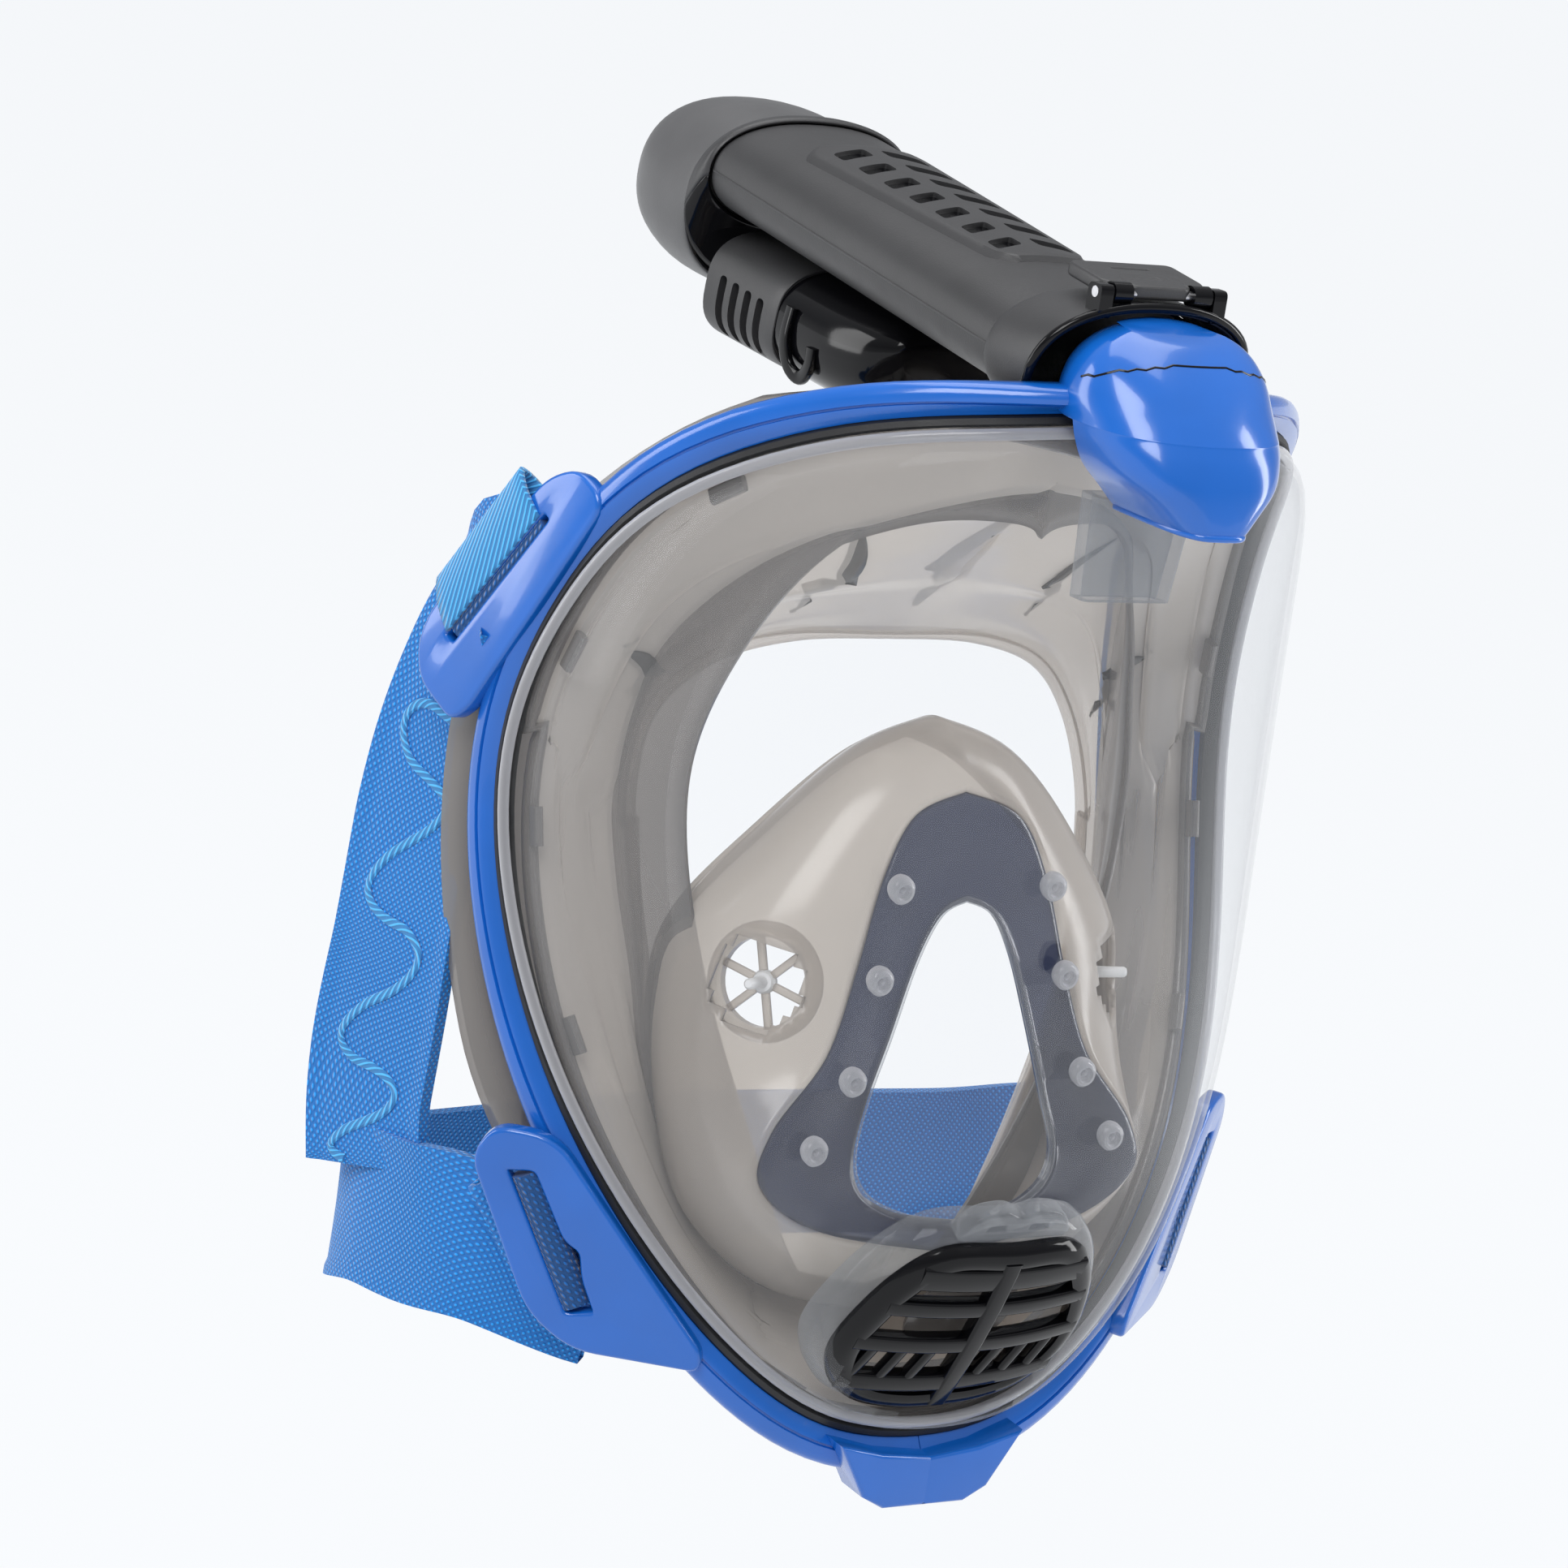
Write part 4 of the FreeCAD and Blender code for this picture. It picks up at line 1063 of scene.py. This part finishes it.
PANEL_RISE = 1.3
PANEL_START, PANEL_END = 47, 132
panel_rows = []
for step in range(71):
    along = PANEL_START + 85 * step / 70
    wide = 13.0 + 4.5 * (along - PANEL_START) / 85
    taper = min(ease((along - 46.6) / 7), ease((132.4 - along) / 7))
    half = wide * (0.62 + 0.38 * taper ** 0.5)
    end_rise = ease(min(along - PANEL_START, PANEL_END - along) / 1.6)
    top, bottom = [], []
    for k in range(33):
        share = -1 + 2 * k / 32
        rise = PANEL_RISE * ease((1 - abs(share)) * half / 1.6) * end_rise
        top.append(snorkel(half * share, along, crown(half * share, rise + 0.02)))
        x = half * (1 - 2 * k / 32)
        bottom.append(snorkel(x, along, crown(x, -1.2)))
    panel_rows.append(top + bottom)
panel = grid("tube_panel_plate", panel_rows, SATIN, body="snorkel", slot="grey",
             nodes=("tube_panel",), caps=True)
slots = []
for row in range(7):
    for side in (1, -1):
        along = 57 + 11 * row
        inner, outer = 2.2, 10.2 + 0.3 * row
        corners = [(side * inner, along - 1.5), (side * outer, along - 4.5),
                   (side * outer, along + 1.0), (side * inner, along + 3.8)]
        outline = rounded_outline(corners, 1.4, 3)
        levels = [[snorkel(x, y, high) for x, y in outline] for high in (11.6, 19.0)]
        slots.append(cutter(f"panel_slot_{row}_{side}", levels))
carve(panel, slots)
floor_rows = [[snorkel(x, along, crown(x, 0.15)) for x in np.linspace(-12.5, 12.5, 17)]
              for along in np.linspace(52, 128, 20)]
grid("tube_panel_recess", floor_rows, BLACK, body="snorkel", slot="grey", loop=False)

COLLAR = [(23.8, 26.9, 13.1, 1.3, 0), (22.6, 27.6, 13.9, 1.4, 0), (14, 27.6, 14.9, 1.8, -0.05),
          (8.6, 27.2, 15.4, 2.2, -0.24), (7.0, 26.8, 15.2, 2.2, -0.26)]
oval_loft("snorkel_collar_shell", COLLAR, SATIN, 22, slot="grey", nodes=("snorkel_collar",), thick=1.6)
oval_loft("collar_glossy_skin", [(21.5, 27.75, 14.25, 1.5, -0.02), (14, 27.95, 15.25, 1.8, -0.05),
                                 (8.6, 27.5, 15.7, 2.2, -0.24)], BLACK, 14,
          options={"start": 192, "sweep_by": 156}, loop=False, slot="black", thick=0.5)
snorkel_sweep("collar_front_lip", oval(7.3, 27.3, 15.9, 2.2, -0.27), circle(1.1), (0, 1, 0.1),
              closed=True)
snorkel_sweep("collar_seam_groove", oval(24.1, 26.2, 12.3, 1.3), circle(0.5, 8), (0, 1, 0.1),
              closed=True)

LATCH_TOP = 20.5
latch_place = axes(snorkel(0, 0, LATCH_TOP), *SNORKEL_AXES)
latch_outline = [(-12.7, 8.4), (-12.7, 21.4), (12.7, 21.4), (12.7, 8.4), (8.2, 6.0), (7.6, 10.5),
                 (-7.6, 10.5), (-8.2, 6.0)]
latch_window = [(-5.5, 16.4), (-5.5, 18.6), (5.5, 18.6), (5.5, 16.4)]
plate("latch_plate", [rounded_outline(latch_outline, 1.6), rounded_outline(latch_window, 0.7)],
      3.2, 0.9, latch_place, SATIN, body="latch", nodes=("latch",))
lever_place = axes(snorkel(0, 0, LATCH_TOP + 0.2), *SNORKEL_AXES)
lever_outline = [(-7.0, 5.0), (-7.2, 9.6), (-5, 14), (5, 14), (7.2, 9.6), (7.0, 5.0)]
lever_window = [(-3.6, 9.4), (-3.2, 12.2), (3.2, 12.2), (3.6, 9.4)]
plate("latch_lever", [rounded_outline(lever_outline, 1.4), rounded_outline(lever_window, 0.6)],
      3.0, 0.8, lever_place, SATIN, body="latch")
for side in (1, -1):
    path = [snorkel(side * x, 5.5, 20.2) for x in (8.0, 10, 12.6)]
    sweep(f"latch_knuckle_{side + 1}", path, circle(2.4, 16), (0, 0, 1), BLACK, body="latch",
          slot="black")
    base = [snorkel(side * x, 5.5, 18.4) for x in (13.1, 14.6, 16.4)]
    snorkel_sweep(f"collar_knuckle_{side + 1}", base, rounded_box(2.5, 3.6, 1.2), (0, 0, 1))

BAND = [(151.2, 26.9, 13.2, 1.0, 0), (151.9, 27.5, 14.0, 0.6, 0), (154, 28.0, 17.0, -2.6, 0),
        (156.7, 28.1, 20.6, -7.0, 0)]
oval_loft("waist_band_upper", BAND, SATIN, 12, options={"start": -4, "sweep_by": 188}, loop=False,
          slot="grey", nodes=("waist_band",), thick=1.4)
oval_loft("waist_band_lower", BAND, BLACK, 12, options={"start": 184, "sweep_by": 172}, loop=False,
          slot="black", thick=1.4)

CAP = [(157.0, 27.2, 20.6, -8.2, 0), (157.6, 28.1, 21.5, -8.5, 0), (166, 28.2, 22.0, -9.1, 0),
       (176, 27.5, 21.8, -9.5, 0), (186, 25.2, 20.0, -9.6, 0), (193.5, 21.0, 16.8, -9.8, 0),
       (199, 14.6, 11.8, -10, 0), (202, 7.4, 6.4, -10, 0), (202.8, 1.6, 1.4, -10, 0)]
oval_loft("snorkel_cap_shell", CAP, CAP_GREY, 60, slot="grey", nodes=("snorkel_cap",), caps=True,
          sharp=60, options={"square": 2.3})
snorkel_sweep("cap_seam_groove", oval(156.9, 27.3, 20.8, -8.2), circle(0.45, 8), (0, 1, 0.1),
              closed=True)

housing = oval_loft("float_housing_cover", [(119.5, 20.4, 12.6, -24.8, 0), (121, 21.2, 13.4, -25, 0),
                                            (136, 21.8, 13.6, -25.6, 0), (150.4, 22.4, 13.9, -26, 0)],
                    SATIN, 14, slot="grey", nodes=("float_housing",), caps=True, options={"square": 3.0})
oval_loft("float_housing_bulb", [(76.4, 12.0, 6.0, -19.6, 0), (78, 14.6, 8.4, -20.4, 0),
                                 (84, 18.2, 11.2, -22.4, 0), (96, 20.4, 12.8, -24, 0),
                                 (110, 20.9, 13.2, -24.8, 0), (120.5, 20.6, 12.9, -24.9, 0)],
          BLACK, 30, slot="black", caps=True, options={"square": 2.6})
slots = []
for number in range(4):
    along = 126.5 + 5.6 * number
    outline = rounded_outline([(along - 1.5, -36.5), (along + 1.5, -36.5), (along + 1.5, -22),
                               (along - 1.5, -22)], 1.4, 4)
    for side in (1, -1):
        levels = [[snorkel(x, y, z) for y, z in outline] for x in (side * 17.5, side * 26)]
        slots.append(cutter(f"housing_slot_{number}_{side}", levels))
carve(housing, slots)
for side, name in ((1, "left"), (-1, "right")):
    hook = spline([(side * 21.0, 113, -19.5), (side * 21.6, 112.5, -27), (side * 20.8, 110, -32.5),
                   (side * 20.2, 105, -33.8), (side * 20.6, 101.5, -30), (side * 20.8, 101.5, -25.5)], 26)
    snorkel_sweep(f"housing_hook_{name}", [snorkel(*point) for point in hook],
                  rounded_box(1.7, 0.9, 0.6), (side, 0, 0))


# ---------------------------------------------------------------- harness

STRAP_HALF, STRAP_THICK = 19.0, 2.2


def ribbon(name, path, facings, nodes, count=90):
    """Webbing along a smooth path. facings gives its width direction at each given point."""
    middle = spline(path, count)
    across = [unit(way) for way in spline(facings, count)]
    rows = []
    for index, point in enumerate(middle):
        ahead = middle[min(index + 1, count - 1)]
        behind = middle[max(index - 1, 0)]
        run = unit(ahead - behind)
        wide = unit(across[index] - run * np.dot(across[index], run))
        out = np.cross(run, wide)
        section = [(STRAP_HALF * (-1 + 2 * k / 20), 0.5 + 0.22 * (abs(k - 10) > 8))
                   for k in range(21)]
        top = [point + wide * a + out * (b * STRAP_THICK) for a, b in section]
        bottom = [point + wide * a - out * (b * STRAP_THICK) for a, b in reversed(section)]
        rows.append(top + bottom)
    grid(name, rows, AZURE, slot="webbing", nodes=nodes, weave=True)
    return middle, across


STRAP_LEAN = np.array([0.283, -0.912, 0.299])
side_path = [upper.at(19, -5.0, 20), upper.at(25, -5.0, 22), (-96, 21, 20), (-99, 22, -8), (-103, 18, -40),
             (-104, 19, -70), (-104, 15, -89)]
upper_run = upper.run if upper.run[2] > 0 else -upper.run
lower_run = lower.run if lower.run[2] > 0 else -lower.run
side_facing = [upper_run, upper_run * 0.8 + (0, 0.5, 0), (-0.1, 0.8, 0.5)] + [-STRAP_LEAN] * 4
BEAD_START, BEAD_END, BEAD_PITCH, BEAD_SWING = 14, 88, 16.5, 10.5
for side, name in SIDES:
    middle, across = ribbon(f"strap_side_{name}_web", on_side(side_path, side),
                            on_side(side_facing, side), (f"strap_side_{name}",))
    bead = []
    for index in range(BEAD_START, BEAD_END):
        wave = math.sin(2 * math.pi * (index - BEAD_START) / BEAD_PITCH)
        shift = BEAD_SWING * math.copysign(abs(wave) ** 0.75, wave)
        outward = np.array([-side, 0.0, 0.0])
        bead.append(middle[index] + across[index] * shift + outward * (STRAP_THICK / 2 + 0.1))
    sweep("strap_bead_" + name, spline(bead, 300), circle(1.2, 8, 0.6), (-side, 0, 0),
          AZURE_BEAD, slot="webbing", weave=True)

lower_path = [lower.at(18, -6, 9), (-91, -20, -95), (-100, 0, -97), (-102.5, 20, -99), (-97, 38, -105),
              (-80, 51, -110), (-45, 60, -112), (0, 63, -112)]
lower_path = [np.array(p, float) for p in lower_path]
lower_path += mirror(reversed(lower_path[:-1]))
lower_facing = [lower_run] + [np.array([0, 0, 1.0])] * 13 + [mirror([lower_run])[0]]
ribbon("strap_lower_web", lower_path, lower_facing, ("strap_lower",), count=220)


def webbing_turn(name, place, lines, swell, count, side, material, thick):
    """Webbing turned over a lug's edge. A line is (run, its change, out, its change, face)."""
    station, run = place
    rows = []
    for k in range(13):
        share = k / 12
        points = [station.point + run * (a + b * share) + station.out * (c + d * share)
                  + station.face * e for a, b, c, d, e in lines]
        points.insert(1, (points[0] + points[1]) / 2 + station.face * swell)
        rows.append(on_side(spline(points, count), side))
    grid(name, rows, material, slot="webbing", loop=False, thick=thick, weave=True)


# The webbing's turned ends: a knit roll in each slot, darker than the webbing as painted shade, the fold
# over the lug's edge and loops.
SLOT_ROLLS = [("upper", upper, upper_run, (-30, 17.2), (5, 13.3), 2.7),
              ("lower", lower, lower_run, (-6.5, 20.2), (25.5, 12.6), 3.4)]
UPPER_FOLD = [(-31, 37, 18.6, -3.6, 3.6), (-25, 34, 30, -2.5, 2.2), (-26, 33, 29, -2.5, -3.2),
              (-31, 37, 17.5, -3.6, -4.6)]
LOWER_LOOP = [(-7, 33, 22, -7.5, -2), (-9, 36, 33, -4, -6.5), (-9, 36, 31, -4, -10.5)]
for side, name in SIDES:
    for which, station, run, low, high, radius in SLOT_ROLLS:
        ends = [station.point + run * a + station.out * b + station.face * 0.6
                for a, b in (low, high)]
        path = [ends[0] + (ends[1] - ends[0]) * k / 20 for k in range(21)]
        sweep(f"strap_roll_{which}_{name}", on_side(path, side), circle(radius, 14, 1.1),
              (-side, 0, 0), AZURE_ROLL_SHADED, slot="webbing", weave=True)
    webbing_turn(f"strap_fold_upper_{name}", (upper, upper_run), UPPER_FOLD, 1.4, 20, side,
                 AZURE_BEAD, 1.5)
    webbing_turn(f"strap_loop_lower_{name}", (lower, lower_run), LOWER_LOOP, -0.5, 16, side,
                 AZURE, 1.6)

# Small dark tabs that hold the skirt to the rim.
for number, share in enumerate((0.235, 0.375, 0.50, 0.63)):
    station = Station(share)
    path = [station.at(-5.0, -6.5, k * 1.1) for k in range(-4, 5)]
    for side, name in SIDES:
        sweep(f"skirt_tab_{number}_{name}", on_side(path, side), rounded_box(1.9, 1.0, 0.7),
              (-side, 0, 0), SILICONE_DARK, slot="silicone")


# ---------------------------------------------------------------- CAD pieces that keep their shape

KEPT = {"latch_pin": STEEL, "float_body": FOAM, "float_seal": RUBBER, "float_seat": SATIN,
        "chin_flap": SILICONE_DARK, "frame_screws": STEEL}
for name, material in KEPT.items():
    piece = bpy.data.objects[name]
    piece.data.materials.clear()
    piece.data.materials.append(material)


# ---------------------------------------------------------------- stage, lights and camera

FLOOR_LEVEL = -0.30


def stage_material():
    material, nodes, links = new_material("pale_floor")
    shader = nodes["Principled BSDF"]
    shader.inputs["Base Color"].default_value = (0.05, 0.05, 0.05, 1)
    shader.inputs["Roughness"].default_value = 0.9
    shader.inputs["Specular IOR Level"].default_value = 0.0
    shader.inputs["Emission Color"].default_value = (0.955, 0.975, 1.0, 1)
    shader.inputs["Emission Strength"].default_value = 0.93
    return material


floor_mesh = bpy.data.meshes.new("floor")
REACH = 30.0
floor_mesh.from_pydata([(-REACH, -REACH, FLOOR_LEVEL), (REACH, -REACH, FLOOR_LEVEL),
                        (REACH, REACH, FLOOR_LEVEL), (-REACH, REACH, FLOOR_LEVEL)], [], [[0, 1, 2, 3]])
floor_mesh.materials.append(stage_material())
floor = bpy.data.objects.new("floor", floor_mesh)
scene.collection.objects.link(floor)


def softbox(name, location, target, size, power, color=(1, 1, 1)):
    light = bpy.data.lights.new(name, "AREA")
    light.shape = "RECTANGLE"
    light.size, light.size_y = size
    light.energy = power
    light.color = color
    obj = bpy.data.objects.new(name, light)
    obj.location = location
    way = Vector(target) - Vector(location)
    obj.rotation_euler = way.to_track_quat("-Z", "Y").to_euler()
    scene.collection.objects.link(obj)


softbox("key", (-1.0, -0.9, 1.3), (0, 0, 0), (0.9, 0.9), 17)
softbox("side", (1.5, -0.6, 0.5), (0, 0, 0), (0.35, 1.5), 12)
softbox("rim", (-1.3, 0.9, 0.5), (0, 0, 0), (0.6, 1.2), 9)
softbox("top", (0.2, 0.3, 1.6), (0, 0, 0), (1.2, 1.2), 11)

world = bpy.data.worlds.new("studio")
world.use_nodes = True
scene.world = world
world_nodes, world_links = world.node_tree.nodes, world.node_tree.links
place = world_nodes.new("ShaderNodeTexCoord")
split = world_nodes.new("ShaderNodeSeparateXYZ")
shade = world_nodes.new("ShaderNodeValToRGB")
shade.color_ramp.elements[0].position = 0.42
shade.color_ramp.elements[0].color = (0.95, 0.96, 0.98, 1)
shade.color_ramp.elements[1].position = 0.95
shade.color_ramp.elements[1].color = (0.75, 0.76, 0.78, 1)
middle_tone = shade.color_ramp.elements.new(0.62)
middle_tone.color = (0.36, 0.37, 0.39, 1)
lift = world_nodes.new("ShaderNodeMath")
lift.operation = "MULTIPLY_ADD"
lift.inputs[1].default_value = 0.5
lift.inputs[2].default_value = 0.5
world_links.new(place.outputs["Generated"], split.inputs[0])
world_links.new(split.outputs["Z"], lift.inputs[0])
world_links.new(lift.outputs[0], shade.inputs["Fac"])
world_links.new(shade.outputs["Color"], world_nodes["Background"].inputs["Color"])
world_nodes["Background"].inputs["Strength"].default_value = 0.75

AZIMUTH, PITCH, ROLL = math.radians(32), math.radians(17.3), math.radians(0.6)
DISTANCE = 1.150
right = Vector((math.cos(AZIMUTH), -math.cos(PITCH) * math.sin(AZIMUTH),
                math.sin(PITCH) * math.sin(AZIMUTH)))
up = Vector((0, math.sin(PITCH), math.cos(PITCH)))
toward = right.cross(up)
rolled_right = right * math.cos(ROLL) - up * math.sin(ROLL)
rolled_up = right * math.sin(ROLL) + up * math.cos(ROLL)
camera_data = bpy.data.cameras.new("camera")
camera_data.lens = 112.5
camera_data.sensor_width = 36
camera_data.shift_x = -0.0352
camera_data.shift_y = 0.0176
camera_data.clip_start = 0.05
camera = bpy.data.objects.new("camera", camera_data)
camera_frame = Matrix((rolled_right, rolled_up, toward)).transposed().to_4x4()
camera.matrix_world = Matrix.Translation(toward * DISTANCE) @ camera_frame
scene.collection.objects.link(camera)
scene.camera = camera
scene.view_settings.view_transform = "Standard"
